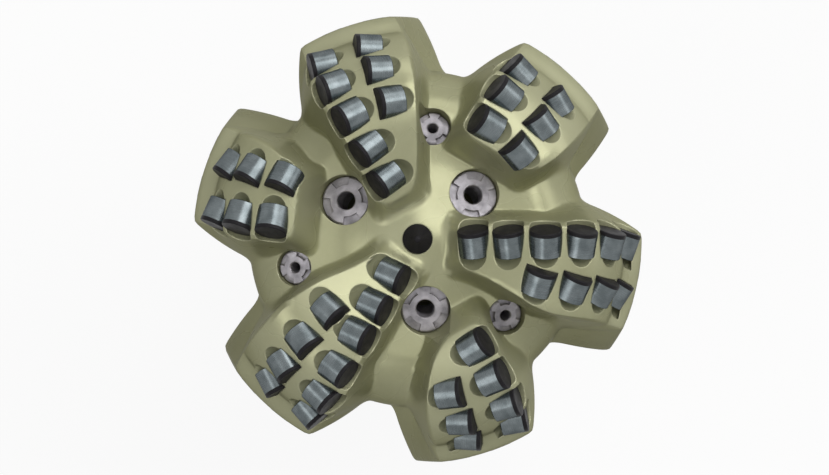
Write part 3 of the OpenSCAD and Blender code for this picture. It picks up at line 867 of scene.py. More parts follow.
class Nodes:
    """Short way to build the node graph of a material or a world."""

    def __init__(self, owner: Material | bpy.types.World) -> None:
        """Starts an empty graph.

        Args:
            owner: The material or world.
        """
        owner.use_nodes = True
        self.owner = owner
        self.tree = owner.node_tree
        self.tree.nodes.clear()

    def add(self, kind: str, inputs: dict | None = None, **settings: object) -> bpy.types.Node:
        """Adds a node.

        Args:
            kind: Type of the node, without the ShaderNode at its front.
            inputs: Values or sockets for the inputs, by name or number.
            settings: Attributes of the node.

        Returns:
            The new node.
        """
        node = self.tree.nodes.new("ShaderNode" + kind)
        for key, value in settings.items():
            setattr(node, key, value)
        for key, value in (inputs or {}).items():
            if isinstance(value, Socket):
                self.tree.links.new(value, node.inputs[key])
            else:
                node.inputs[key].default_value = value
        return node

    def math(self, operation: str, a: object, b: object) -> Socket:
        """Result of a sum on two values or sockets."""
        return self.add("Math", {0: a, 1: b}, operation=operation).outputs[0]

    def ramp(self, value: Socket, low: float, high: float, out_low: float = 0.0,
             out_high: float = 1.0) -> Socket:
        """Maps a value from one range to another, and clamps it.

        Args:
            value: The value.
            low: Start of its range.
            high: End of its range.
            out_low: Result at the start.
            out_high: Result at the end.

        Returns:
            The result.
        """
        node = self.add("MapRange", {"Value": value, "From Min": low, "From Max": high,
                                     "To Min": out_low, "To Max": out_high})
        return node.outputs["Result"]

    def blend(self, share: Socket, a: object, b: object) -> Socket:
        """Mixes two colours by a share."""
        node = self.add("Mix", {"Factor": share, 6: a, 7: b}, data_type="RGBA")
        return node.outputs[2]

    def tone(self, noise: Socket, dark: Colour, light: Colour, low: float = 0.35,
             high: float = 0.65) -> Socket:
        """Colour that a noise shifts from dark at low to light at high."""
        return self.blend(self.ramp(noise, low, high), dark, light)

    def gloss(self, noise: Socket, middle: float, less: float, more: float) -> Socket:
        """Roughness that a noise shifts by less and more about the middle."""
        return self.ramp(noise, 0.3, 0.7, middle - less, middle + more)

    def noise(self, where: Socket, scale: float, detail: float = 3.0, rough: float = 0.55) -> Socket:
        """Noise at a scale, in features per metre."""
        inputs = {"Vector": where, "Scale": scale, "Detail": detail, "Roughness": rough}
        return self.add("TexNoise", inputs).outputs["Fac"]

    def stretch(self, where: Socket, scale: tuple[float, ...]) -> Socket:
        """Coordinates multiplied along each axis, for a noise drawn out into marks."""
        return self.add("Mapping", {"Vector": where, "Scale": scale}).outputs[0]

    def bevel(self, radius: float, samples: int = 4) -> Socket:
        """Normal with the edges rounded by the radius."""
        return self.add("Bevel", {"Radius": radius}, samples=samples).outputs["Normal"]

    def bump(self, height: Socket, depth: float, strength: float = 1.0,
             normal: Socket | None = None) -> Socket:
        """Bump of a given depth in metres.

        Args:
            height: Height of the surface, as a share of the depth.
            depth: Depth in metres.
            strength: Share of the bump that is used.
            normal: Normal that the bump stands on, or None for the surface's own.

        Returns:
            The bumped normal.
        """
        inputs = {"Height": height, "Distance": depth, "Strength": strength}
        if normal is not None:
            inputs["Normal"] = normal
        return self.add("Bump", inputs).outputs["Normal"]

    def place(self) -> Socket:
        """The point on the object, in metres."""
        return self.add("TexCoord").outputs["Object"]

    def in_sight(self) -> Socket:
        """Tells rays that are looked along from those that only light the bit.

        Returns:
            1 for the camera and for rays in reflections or through glass, and 0 for the rest.
        """
        sight = self.add("LightPath").outputs
        seen = self.math("MAXIMUM", sight["Is Camera Ray"], sight["Is Glossy Ray"])
        return self.math("MAXIMUM", seen, sight["Is Transmission Ray"])

    def finish(self, surface: bpy.types.Node, output: str = "OutputMaterial") -> bpy.types.ID:
        """Connects the surface to the output.

        Args:
            surface: The surface's shader.
            output: Type of the output node.

        Returns:
            The material or world.
        """
        self.tree.links.new(surface.outputs[0], self.add(output).inputs["Surface"])
        return self.owner

    def principled(self, colour: Socket, metallic: float, gloss: Socket, normal: Socket,
                   **constants: object) -> Material:
        """Finishes a material with a principled shader.

        Args:
            colour: Base colour.
            metallic: How much of a metal it is.
            gloss: Roughness.
            normal: Normal.
            constants: Further inputs, with an underscore for each space in their names.

        Returns:
            The material.
        """
        inputs = {"Base Color": colour, "Metallic": metallic, "Roughness": gloss, "Normal": normal}
        inputs |= {name.replace("_", " "): value for name, value in constants.items()}
        return self.finish(self.add("BsdfPrincipled", inputs))


def linear(r: int, g: int, b: int) -> Colour:
    """Linear colour of an 8-bit screen colour.

    Args:
        r: Red from 0 to 255.
        g: Green from 0 to 255.
        b: Blue from 0 to 255.

    Returns:
        The linear colour with an alpha of 1.
    """
    def one(v: int) -> float:
        """Linear value of one channel."""
        c = v / 255
        return c / 12.92 if c <= 0.04045 else ((c + 0.055) / 1.055) ** 2.4
    return (one(r), one(g), one(b), 1.0)


@dataclass(frozen=True)
class CoatedSteel:
    """Satin olive coating over machined steel, its edges lighter: partly rubbed paint, partly a painted
    highlight.

    Scales are in features per metre and depths in metres. An edge is lightened from where its rounding
    turns the surface by an angle of the cosine edge_start, and fully at edge_full.
    """

    name: str = "olive_coating"
    deep: Colour = linear(159, 159, 126)
    pale: Colour = linear(173, 173, 142)
    # Colour of the lightened edges: rubbed paint together with a painted highlight.
    rubbed_and_highlight: Colour = linear(206, 205, 175)
    tint: Colour = (0.42, 0.41, 0.36, 1.0)
    metallic: float = 0.35
    roughness: float = 0.27
    edge_radius: float = 0.0009
    edge_start: float = 0.985
    edge_full: float = 0.80
    cloud_scale: float = 22.0
    grain_scale: float = 420.0
    wave_scale: float = 60.0
    wave_depth: float = 0.0003
    peel_scale: float = 1400.0
    peel_depth: float = 0.00004

    def material(self) -> Material:
        """Builds the node material.

        Returns:
            The material.
        """
        g = Nodes(bpy.data.materials.new(self.name))
        at = g.place()
        cloud = g.noise(at, self.cloud_scale, 2)
        grain = g.noise(at, self.grain_scale, 3, 0.6)
        rounded = g.bevel(self.edge_radius, 6)
        true = g.add("NewGeometry").outputs["Normal"]
        bend = g.add("VectorMath", {0: rounded, 1: true}, operation="DOT_PRODUCT").outputs["Value"]
        # Painted highlight and rubbed paint: the convex edges are mixed towards the pale edge colour,
        # broken up by the grain.
        edge = g.ramp(bend, self.edge_start, self.edge_full)
        wear_and_highlight = g.math("MULTIPLY", edge, g.ramp(grain, 0.35, 0.6, 0.35, 1.0))
        tone = g.tone(cloud, self.deep, self.pale, 0.25, 0.75)
        speckle = g.blend(g.ramp(grain, 0.4, 0.8, 0.0, 0.3), tone, self.pale)
        colour = g.blend(wear_and_highlight, speckle, self.rubbed_and_highlight)
        normal = g.bump(g.noise(at, self.wave_scale, 1), self.wave_depth, 0.5, rounded)
        normal = g.bump(g.noise(at, self.peel_scale, 2, 0.7), self.peel_depth, 0.5, normal)
        return g.principled(colour, self.metallic, g.gloss(cloud, self.roughness, 0.06, 0.07), normal,
                            Specular_IOR_Level=0.0, Specular_Tint=self.tint)


@dataclass(frozen=True)
class GroundCarbide:
    """Tungsten carbide with the fine rings that grinding leaves."""

    name: str = "ground_carbide"
    dark: Colour = linear(92, 99, 101)
    light: Colour = linear(112, 119, 121)
    tint: Colour = (0.4, 0.4, 0.4, 1.0)
    metallic: float = 0.85
    roughness: float = 0.22
    ring_scale: tuple[float, float, float] = (3.0, 9.0, 1.0)
    ring_depth: float = 0.00003
    grain_scale: float = 2600.0
    grain_depth: float = 0.00001
    cloud_scale: float = 160.0

    def material(self) -> Material:
        """Builds the node material.

        Returns:
            The material.
        """
        g = Nodes(bpy.data.materials.new(self.name))
        at = g.place()
        marks = g.noise(g.stretch(g.add("UVMap").outputs["UV"], self.ring_scale), 1.0, 4, 0.7)
        tone = g.tone(g.noise(at, self.cloud_scale), self.dark, self.light)
        normal = g.bump(marks, self.ring_depth, 0.5)
        normal = g.bump(g.noise(at, self.grain_scale, 2, 0.6), self.grain_depth, 0.4, normal)
        return g.principled(tone, self.metallic, g.gloss(marks, self.roughness, 0.05, 0.1), normal,
                            Specular_IOR_Level=0.1, Specular_Tint=self.tint)


@dataclass(frozen=True)
class LappedDiamond:
    """Near-black polycrystalline diamond with a lapped face."""

    name: str = "lapped_diamond"
    dark: Colour = linear(25, 24, 26)
    light: Colour = linear(43, 41, 44)
    roughness: float = 0.46
    grain_scale: float = 3200.0
    grain_depth: float = 0.00001
    cloud_scale: float = 210.0

    def material(self) -> Material:
        """Builds the node material.

        Returns:
            The material.
        """
        g = Nodes(bpy.data.materials.new(self.name))
        at = g.place()
        grain = g.noise(at, self.grain_scale, 2, 0.65)
        gloss = g.gloss(g.noise(at, self.cloud_scale), self.roughness, 0.05, 0.12)
        return g.principled(g.tone(grain, self.dark, self.light, 0.45, 0.7), 0.0, gloss,
                            g.bump(grain, self.grain_depth, 0.5), Specular_IOR_Level=0.12)


@dataclass(frozen=True)
class SinteredCarbide:
    """Matt mauve-grey carbide of the nozzles, as it leaves the furnace."""

    name: str = "sintered_carbide"
    dark: Colour = linear(126, 123, 128)
    light: Colour = linear(182, 178, 184)
    metallic: float = 0.45
    roughness: float = 0.46
    edge_radius: float = 0.0004
    cloud_scale: float = 130.0
    grain_scale: float = 900.0
    grain_depth: float = 0.00006

    def material(self) -> Material:
        """Builds the node material.

        Returns:
            The material.
        """
        g = Nodes(bpy.data.materials.new(self.name))
        at = g.place()
        grain = g.noise(at, self.grain_scale, 3, 0.7)
        tone = g.tone(g.noise(at, self.cloud_scale, 4), self.dark, self.light)
        tone = g.blend(g.ramp(grain, 0.58, 0.8, 0.0, 0.5), tone, self.dark)
        normal = g.bump(grain, self.grain_depth, 0.6, g.bevel(self.edge_radius))
        return g.principled(tone, self.metallic, g.gloss(grain, self.roughness, 0.08, 0.08), normal)


@dataclass(frozen=True)
class TurnedSteel:
    """Turned steel: the rings of the tool run round the axis."""

    name: str = "turned_steel"
    dark: Colour = linear(70, 70, 66)
    light: Colour = linear(106, 105, 98)
    metallic: float = 0.8
    roughness: float = 0.42
    edge_radius: float = 0.0006
    ring_scale: tuple[float, float, float] = (4.0, 4.0, 1800.0)
    ring_depth: float = 0.00004
    cloud_scale: float = 35.0

    def material(self) -> Material:
        """Builds the node material.

        Returns:
            The material.
        """
        g = Nodes(bpy.data.materials.new(self.name))
        at = g.place()
        marks = g.noise(g.stretch(at, self.ring_scale), 1.0, 3, 0.6)
        cloud = g.noise(at, self.cloud_scale, 4)
        normal = g.bump(marks, self.ring_depth, 0.5, g.bevel(self.edge_radius))
        return g.principled(g.tone(cloud, self.dark, self.light), self.metallic,
                            g.gloss(cloud, self.roughness, 0.08, 0.1), normal)


@dataclass(frozen=True)
class WeldMetal:
    """Weld metal, blued by heat and wire-brushed."""

    name: str = "weld_metal"
    dark: Colour = linear(92, 88, 78)
    light: Colour = linear(150, 146, 132)
    metallic: float = 0.8
    roughness: float = 0.4
    cloud_scale: float = 60.0
    grain_scale: float = 1100.0
    grain_depth: float = 0.00006

    def material(self) -> Material:
        """Builds the node material.

        Returns:
            The material.
        """
        g = Nodes(bpy.data.materials.new(self.name))
        at = g.place()
        cloud = g.noise(at, self.cloud_scale, 5)
        normal = g.bump(g.noise(at, self.grain_scale, 3, 0.7), self.grain_depth, 0.6)
        return g.principled(g.tone(cloud, self.dark, self.light, 0.3, 0.7), self.metallic,
                            g.gloss(cloud, self.roughness, 0.1, 0.12), normal)


@dataclass(frozen=True)
class SealRubber:
    """Black moulded rubber with a faint bloom."""

    name: str = "seal_rubber"
    dark: Colour = linear(22, 22, 23)
    light: Colour = linear(46, 45, 44)
    roughness: float = 0.62
    cloud_scale: float = 120.0
    grain_scale: float = 1500.0
    grain_depth: float = 0.00003

    def material(self) -> Material:
        """Builds the node material.

        Returns:
            The material.
        """
        g = Nodes(bpy.data.materials.new(self.name))
        at = g.place()
        cloud = g.noise(at, self.cloud_scale, 4)
        normal = g.bump(g.noise(at, self.grain_scale), self.grain_depth, 0.5)
        return g.principled(g.tone(cloud, self.dark, self.light, 0.4, 0.7), 0.0,
                            g.gloss(cloud, self.roughness, 0.06, 0.1), normal)


@dataclass
class Paintbox:
    """The finishes, each built once."""

    coating: Material = field(default_factory=lambda: CoatedSteel().material())
    carbide: Material = field(default_factory=lambda: GroundCarbide().material())
    diamond: Material = field(default_factory=lambda: LappedDiamond().material())
    nozzle: Material = field(default_factory=lambda: SinteredCarbide().material())
    steel: Material = field(default_factory=lambda: TurnedSteel().material())
    weld: Material = field(default_factory=lambda: WeldMetal().material())
    rubber: Material = field(default_factory=lambda: SealRubber().material())


def seat(item: Item, node: str, material: Material) -> None:
    """Gives a new piece its finish and puts it in place of a node.

    Args:
        item: The piece.
        node: Name of the node that the piece replaces.
        material: Finish of the piece.
    """
    item.data.materials.clear()
    item.data.materials.append(material)
    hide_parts(node)
    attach(item, BODY)
    log.info("%s: %d faces", item.name, len(item.data.polygons))


def dress(node: str, material: Material) -> None:
    """Gives a node of the construction its finish.

    Args:
        node: Name of the node.
        material: Finish of the node.
    """
    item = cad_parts[node]
    item.data.materials.clear()
    item.data.materials.append(material)
    log.info("%s: kept", node)


@dataclass
class Crown:
    """The crown: blades, courses and junk slots with every pocket, port and bore cut into them.

    The seat of a front cutter is open over mouth_l ahead of it. A dish is cut behind a cutter whose back
    stands clear of the blade's top by more than clear_h. The plenum runs up to plenum_drop below the
    gauge, and ends in a cone of plenum_cone_h. Cuts go past the surface by overlap, and by
    spanner_room, socket_room and vee_past where they stay open.
    """

    sizes: Sizes
    layout: Layout
    paint: Paintbox
    mouth_l: float = 10.0
    clear_h: float = 0.5
    scoop_r: float = 7.0
    scoop_depth: float = 3.0
    scoop_back: float = 9.5
    scoop_above: float = 1.5
    scoop_steps: int = 14
    spanner_room: float = 24.0
    plenum_drop: float = 10.0
    plenum_cone_h: float = 14.0
    socket_room: float = 5.0
    vee_past: float = 20.0
    overlap: float = 1.0
    seat_sides: int = 72
    dish_sides: int = 56
    port_sides: int = 80
    feed_sides: int = 40
    plenum_sides: int = 96
    disc_sides: int = 48
    vee_sides: int = 192
    sharp: float = 32.0

    def scoop_profile(self) -> Outline:
        """Lathe profile of the dish behind a cutter.

        Returns:
            The profile, with z = 0 on the blade's top.
        """
        ball_r = (self.scoop_r ** 2 + self.scoop_depth ** 2) / (2 * self.scoop_depth)
        reach = math.acos(1 - (self.scoop_depth + self.scoop_above) / ball_r)
        turn = [reach * i / self.scoop_steps for i in range(self.scoop_steps + 1)]
        arc = [(ball_r * math.sin(a), ball_r * (1 - math.cos(a)) - self.scoop_depth) for a in turn]
        return [*arc, (0, self.scoop_above)]

    def pocket_tools(self) -> list[Draft]:
        """Cuts for the cutters' seats and mouths, and for the dishes behind them.

        Returns:
            The drafts of the seats and of the dishes, row by row.
        """
        sizes = self.sizes
        depth = sizes.cutter_l + sizes.braze_gap
        seat_r = sizes.cutter_d / 2 + sizes.braze_gap
        ahead = {CutterRow.PRIMARY: self.mouth_l, CutterRow.BACKUP: sizes.braze_gap}
        least_height = sizes.cutter_l * math.sin(math.radians(sizes.back_rake)) + self.clear_h
        tools = []
        for row in CutterRow:
            seats, dishes = Draft(), Draft()
            for n in range(self.layout.count):
                if not self.layout.has_row(n, row):
                    continue
                seats.lathe(cylinder(seat_r, -depth, ahead[row]), self.layout.cutter_place(n, row),
                            self.seat_sides)
                height = self.layout.tip_height(n, row)
                if height > least_height:
                    top = Matrix.Translation((0, -self.scoop_back, -height))
                    dishes.lathe(self.scoop_profile(), self.layout.tip_place(n, row) @ top,
                                 self.dish_sides)
            tools += [seats, dishes]
        return tools

    def waterway_tools(self) -> list[Draft]:
        """Cuts for the nozzle ports, the feed passages, the plenum and the centre element's socket.

        Returns:
            The drafts of the ports, of the feeds and of the plenum with the socket.
        """
        sizes = self.sizes
        ports, feeds, plenum = Draft(), Draft(), Draft()
        for jet in JETS:
            place = self.layout.nozzle_place(jet)
            face_r = jet.size.face_d / 2
            feed_l = (jet.radius - sizes.bore_d / 4) / math.sin(math.radians(jet.size.lean))
            ports.lathe(cylinder(face_r + sizes.port_gap, sizes.seat_z, self.spanner_room), place,
                        self.port_sides)
            feeds.lathe(cylinder(face_r * sizes.inlet_share, -feed_l, sizes.seat_z + self.overlap), place,
                        self.feed_sides)
        foot = sizes.crown_z - self.overlap
        top = sizes.gauge_low_z - self.plenum_drop
        tip = top + self.plenum_cone_h
        r = sizes.bore_d / 2
        plenum.lathe([(0, foot), (r, foot), (r, top), (r / 2, tip), (0, tip)], None, self.plenum_sides)
        plenum.lathe(cylinder(sizes.point_d / 2 + sizes.braze_gap, sizes.centre_z - sizes.point_base_l,
                              sizes.centre_z + self.socket_room))
        return [ports, feeds, plenum]

    def edge_tools(self) -> list[Draft]:
        """Cuts for the gauge inserts and the weld's bevel.

        Returns:
            The drafts of the inserts and of the bevel.
        """
        sizes = self.sizes
        discs, vee = Draft(), Draft()
        for blade in range(len(BLADES)):
            for place in self.layout.inserts(blade):
                discs.lathe(cylinder(sizes.insert_d / 2, 0, sizes.insert_l), place, self.disc_sides)
        past_r = sizes.shank_r + self.vee_past
        past_z = sizes.crown_z + sizes.vee_half_w * (1 + self.vee_past / sizes.vee_depth)
        vee.lathe([(sizes.shank_r - sizes.vee_depth, sizes.crown_z),
                   (past_r, sizes.crown_z - self.overlap), (past_r, past_z)], None, self.vee_sides)
        return [discs, vee]

    def build(self) -> None:
        """Makes the crown and puts it in place of its node."""
        skin = Draft()
        skin.add(*SkinGrid(self.layout.profile).mesh())
        item = skin.to_object("crown_skin")
        cut(item, self.pocket_tools() + self.waterway_tools() + self.edge_tools(), self.sharp)
        seat(item, "crown", self.paint.coating)


@dataclass
class CutterSet:
    """The cutters of one blade, front and back row."""

    sizes: Sizes
    layout: Layout
    paint: Paintbox
    blade: int
    back_bevel: float = 0.35
    face_bevel: float = 0.4
    sides: int = 72
    sharp: float = 30.0

    def body_profile(self) -> Outline:
        """Lathe profile of a cutter's carbide body.

        Returns:
            The profile, with a small bevel at its back.
        """
        r, back, bevel = self.sizes.cutter_d / 2, -self.sizes.cutter_l, self.back_bevel
        front = -self.sizes.table_t
        return [(0, back), (r - bevel, back), (r, back + bevel), (r, front), (0, front)]

    def table_profile(self) -> Outline:
        """Lathe profile of a diamond table.

        Returns:
            The profile, with a lapped bevel round its face.
        """
        r, bevel, low = self.sizes.cutter_d / 2, self.face_bevel, -self.sizes.table_t
        return [(0, low), (r, low), (r, -bevel), (r - bevel, 0), (r / 2, 0), (0, 0)]

    def build(self) -> None:
        """Makes the bodies and tables of both rows."""
        name = BLADES[self.blade].name
        for row in CutterRow:
            bodies, tables = Draft(), Draft()
            for place in self.layout.cutters(self.blade, row):
                bodies.lathe(self.body_profile(), place, self.sides)
                tables.lathe(self.table_profile(), place, self.sides)
            body = bodies.to_object(f"{row.value}_carbide_{name}", self.sharp)
            table = tables.to_object(f"{row.value}_diamond_{name}", self.sharp)
            seat(body, f"{row.value}_bodies_{name}", self.paint.carbide)
            seat(table, f"{row.value}_tables_{name}", self.paint.diamond)


@dataclass
class CentreElement:
    """The conical diamond element in the middle of the face."""

    sizes: Sizes
    paint: Paintbox
    tip_r: float = 2.4
    foot_bevel: float = 0.3
    arc_steps: int = 16
    sides: int = 96
    sharp: float = 24.0

    def profile(self) -> Outline:
        """Lathe profile of the conical tip.

        Returns:
            The profile, from the foot's bevel up to the rounded point.
        """
        sizes, bevel = self.sizes, self.foot_bevel
        foot_r = sizes.point_d / 2
        ball_z = sizes.point_h - self.tip_r
        slant = math.atan2(foot_r - self.tip_r, ball_z)
        reach = math.pi / 2 - slant / 2
        turn = [reach * i / self.arc_steps for i in range(self.arc_steps, 0, -1)]
        arc = [(self.tip_r * math.sin(a), ball_z + self.tip_r * math.cos(a)) for a in turn]
        return [(0, 0), (foot_r - bevel, 0.0), (foot_r, bevel), *arc, (0, sizes.point_h)]

    def build(self) -> None:
        """Makes the conical tip and dresses its base."""
        draft = Draft()
        draft.lathe(self.profile(), Matrix.Translation((0, 0, self.sizes.centre_z)), self.sides)
        item = draft.to_object("conical_diamond", self.sharp)
        seat(item, "centre_point", self.paint.diamond)
        dress("centre_base", self.paint.carbide)


@dataclass
class NozzleSet:
    """The nozzles with their sleeves and seals.

    The wrench pockets in the rim reach in to key_share of its radius and down by key_h. Their cuts go
    key_past beyond the rim and key_above over it.
    """

    sizes: Sizes
    layout: Layout
    paint: Paintbox
    rim_bevel: float = 0.8
    throat_l: float = 7.0
    throat_bevel: float = 0.5
    key_share: float = 0.66
    key_h: float = 2.2
    key_angle: float = 48.0
    key_turns: tuple[float, ...] = (45, 135, 225, 315)
    key_steps: int = 12
    key_past: float = 2.0
    key_above: float = 1.0
    sides: int = 96

    def profile(self, size: NozzleSize) -> Outline:
        """Lathe profile of a nozzle, closed round its waterway.

        Args:
            size: Size of the nozzle.

        Returns:
            The profile, with z = 0 on the fluid course.
        """
        sizes = self.sizes
        face_r, jet_r = size.face_d / 2, size.jet_d / 2
        inlet_r, tail_r, thread_r = (
            face_r * share for share in (sizes.inlet_share, sizes.tail_share, sizes.thread_share))
        top = -sizes.nozzle_recess
        sleeve_z = top - sizes.head_h
        tail_z = sleeve_z - sizes.sleeve_l
        inlet = [(inlet_r, tail_z), (inlet_r, sizes.seat_z), (tail_r, sizes.seat_z), (tail_r, tail_z)]
        head = [(thread_r, tail_z), (thread_r, sleeve_z), (face_r, sleeve_z)]
        rim = [(face_r, top - self.rim_bevel), (face_r - self.rim_bevel, top)]
        throat = [(jet_r + self.throat_bevel, top), (jet_r, top - self.throat_bevel),
                  (jet_r, top - self.throat_l)]
        return [*inlet, *head, *rim, *throat]

    def key_cuts(self, size: NozzleSize, place: Matrix) -> Draft:
        """Cuts for the wrench pockets round the rim of a nozzle's face.

        Args:
            size: Size of the nozzle.
            place: Place of the nozzle.

        Returns:
            The draft of the pockets.
        """
        face_r, top = size.face_d / 2, -self.sizes.nozzle_recess
        inner_r, outer_r = face_r * self.key_share, face_r + self.key_past
        low, high = top - self.key_h, top + self.key_above
        half = self.key_angle / 2
        draft = Draft()
        for middle in self.key_turns:
            turn = np.radians(middle + np.linspace(-half, half, self.key_steps + 1))
            corners = [ring_points(r, h, turn)
                       for r, h in ((inner_r, low), (outer_r, low), (outer_r, high), (inner_r, high))]
            faces = bands(self.key_steps + 1, 4)
            faces += [(3, 2, 1, 0), tuple(4 * self.key_steps + corner for corner in range(4))]
            draft.add(np.stack(corners, 1).reshape(-1, 3), [face[::-1] for face in faces], place)
        return draft

    def build(self) -> None:
        """Makes each nozzle and dresses its sleeve and seal."""
        for jet in JETS:
            place = self.layout.nozzle_place(jet)
            draft = Draft()
            draft.lathe(self.profile(jet.size), place, self.sides)
            item = draft.to_object(f"jet_nozzle_{jet.name}")
            cut(item, [self.key_cuts(jet.size, place)])
            seat(item, f"nozzle_{jet.name}", self.paint.nozzle)
            dress(f"nozzle_sleeve_{jet.name}", self.paint.steel)
            dress(f"nozzle_seal_{jet.name}", self.paint.rubber)


@dataclass
class GaugeInserts:
    """The carbide discs in the gauge pads."""

    sizes: Sizes
    layout: Layout
    paint: Paintbox
    bevel: float = 0.3
    sides: int = 48
    sharp: float = 30.0

    def build(self) -> None:
        """Makes the discs of each pad, with a small bevel round their faces."""
        r, top, bevel = self.sizes.insert_d / 2, self.sizes.insert_l, self.bevel
        profile = [(0, 0), (r, 0), (r, top - bevel), (r - bevel, top), (0, top)]
        for number, blade in enumerate(BLADES):
            draft = Draft()
            for place in self.layout.inserts(number):
                draft.lathe(profile, place, self.sides)
            item = draft.to_object(f"gauge_discs_{blade.name}", self.sharp)
            seat(item, f"gauge_inserts_{blade.name}", self.paint.carbide)


@dataclass
class Shank:
    """The shank with its threaded pin.

    The thread rises to its full depth over run_in at the pin's end and fades out over run_out at its
    base. Shares of the pitch are crest_share for half a crest and flank_share for a flank.
    """

    sizes: Sizes
    paint: Paintbox
    relief: float = 0.6
    end_bevel: float = 3.0
    end_drop: float = 0.4
    end_step: float = 1.0
    bore_bevel: float = 2.0
    run_in: float = 4.0
    run_out: float = 5.0
    crest_share: float = 0.06
    flank_share: float = 0.32
    rows_per_pitch: int = 12
    land_h: float = 7.0
    sides: int = 160
    sharp: float = 34.0
    bare_margin: float = 0.5

    def pin_r(self, h: float) -> float:
        """Radius of the pin's thread crests at the height h."""
        return (self.sizes.pin_d - (self.sizes.pin_l - h) * self.sizes.pin_taper) / 2

    def thread_rows(self) -> list[tuple[float, float, float]]:
        """Rows of the thread.

        Returns:
            Radius, height and depth of thread of each row, from the pin's base down.
        """
        sizes = self.sizes
        base_z = sizes.pin_l - sizes.pin_base_l
        length = base_z - self.end_bevel
        steps = int(length / (sizes.thread_pitch / self.rows_per_pitch))
        rows = []
        for i in range(steps + 1):
            h = base_z - length * i / steps
            fade = min(1.0, (base_z - h) / self.run_out, (h - self.end_bevel) / self.run_in)
            rows.append((self.pin_r(h), h, sizes.thread_h * float(ease(fade))))
        return rows

    def rows(self) -> list[tuple[float, float, float]]:
        """Rows of the whole shank.

        Returns:
            Radius, height and depth of thread of each row, from the bore's top round to its foot.
        """
        sizes = self.sizes
        outer, bore_r, base_r = sizes.shank_r, sizes.bore_d / 2, sizes.pin_base_d / 2
        end_r = self.pin_r(0) - self.end_step - self.end_bevel
        weld_foot = [(bore_r, sizes.crown_z, 0), (outer - sizes.vee_depth, sizes.crown_z, 0),
                     (outer, sizes.crown_z - sizes.vee_half_w, 0)]
        shoulder = [(outer, sizes.pin_l + sizes.shoulder_bevel, 0),
                    (outer - sizes.shoulder_bevel, sizes.pin_l, 0)]
        base = [(base_r + self.relief, sizes.pin_l, 0), (base_r, sizes.pin_l - self.relief, 0),
                (base_r, sizes.pin_l - sizes.pin_base_l, 0)]
        end = [(self.pin_r(self.end_bevel) - self.end_step, self.end_bevel - self.end_drop, 0),
               (end_r, 0, 0), (bore_r + self.bore_bevel, 0, 0), (bore_r, self.bore_bevel, 0)]
        return [*weld_foot, *shoulder, *base, *self.thread_rows(), *end]

    def skin(self) -> Draft:
        """Shank and pin with the helical thread.

        Returns:
            The draft.
        """
        share = np.arange(self.sides) / self.sides
        rings = []
        for r, h, depth in self.rows():
            phase = (h / self.sizes.thread_pitch - share) % 1.0
            flank = np.clip((np.abs(phase - 0.5) - self.crest_share) / self.flank_share, 0, 1)
            radius = np.where(depth > 0, r - depth * (1 - flank), r)
            rings.append(ring_points(radius, h, share * 2 * math.pi))
        draft = Draft()
        draft.add(np.concatenate(rings), bands(len(rings), self.sides, closed=True, downward=True))
        return draft

    def breaker_slots(self) -> Draft:
        """Cuts for the two slots that hold the bit breaker.

        Returns:
            The draft of the slots.
        """
        sizes = self.sizes
        outer = sizes.shank_r
        flat_x, flat_z = outer - sizes.flat_depth, sizes.pin_l + sizes.shoulder_bevel + self.land_h
        slots = Draft()
        for side in (0, 180):
            slots.block((flat_x, -outer, flat_z), (flat_x + outer, outer, flat_z + sizes.flat_h),
                        turned("Z", side))
        return slots

    def build(self) -> None:
        """Makes the shank, coated above the make-up shoulder and bare below it."""
        item = self.skin().to_object("pin_and_shank", self.sharp)
        cut(item, [self.breaker_slots()], self.sharp)
        seat(item, "shank", self.paint.coating)
        item.data.materials.append(self.paint.steel)
        bare_z = (self.sizes.pin_l + self.bare_margin) * MM
        for face in item.data.polygons:
            face.material_index = 1 if face.center.z < bare_z else 0


@dataclass
class WeldBead:
    """The weld that joins the crown to the shank, with its overlapping ripples."""

    sizes: Sizes
    paint: Paintbox
    ripples: int = 118
    ripple_depth: float = 0.45
    ripple_lag: float = 0.012
    sides: int = 720
    steps: int = 12
    sharp: float = 50.0

    def build(self) -> None:
        """Makes the bead and puts it in place of its node."""
        sizes = self.sizes
        turn = np.arange(self.sides) * 2 * math.pi / self.sides
        rings = [ring_points(sizes.shank_r - sizes.vee_depth, sizes.crown_z, turn)]
        for i in range(self.steps + 1):
            t = i / self.steps
            swell = math.sin(math.pi * t)
            wave = 0.5 + 0.5 * np.sin((turn + self.ripple_lag * swell) * self.ripples)
            r = sizes.shank_r + swell * (sizes.bead_rise - self.ripple_depth * wave)
            rings.append(ring_points(r, sizes.crown_z + sizes.vee_half_w * (2 * t - 1), turn))
        draft = Draft()
        draft.add(np.concatenate(rings), bands(len(rings), self.sides, closed=True))
        seat(draft.to_object("rippled_weld", self.sharp), "weld_bead", self.paint.weld)


@dataclass(frozen=True)
class Lamp:
    """A soft oblong lamp that points at the face.

    Azimuth runs from +X towards +Y, and elevation is above the horizon. Distance from the face, width
    and height are in metres. The level is the light on a surface that faces the lamp, where 1 shows a
    colour as it is written.
    """

    name: str
    azimuth: float
    elevation: float
    distance: float
    width: float
    height: float
    level: float

    def build(self, target: Vector) -> None:
        """Adds the lamp.

        Args:
            target: The point that it looks at, in metres.
        """
        data = bpy.data.lights.new(self.name, "AREA")
        data.shape = "RECTANGLE"
        data.size, data.size_y = self.width, self.height
        data.energy = self.level * (math.pi * self.distance) ** 2
        item = bpy.data.objects.new(self.name, data)
        a, e = math.radians(self.azimuth), math.radians(self.elevation)
        way = Vector((math.cos(a) * math.cos(e), math.sin(a) * math.cos(e), math.sin(e)))
        item.location = target + way * self.distance
        item.rotation_euler = way.to_track_quat("Z", "Y").to_euler()
        bpy.context.scene.collection.objects.link(item)


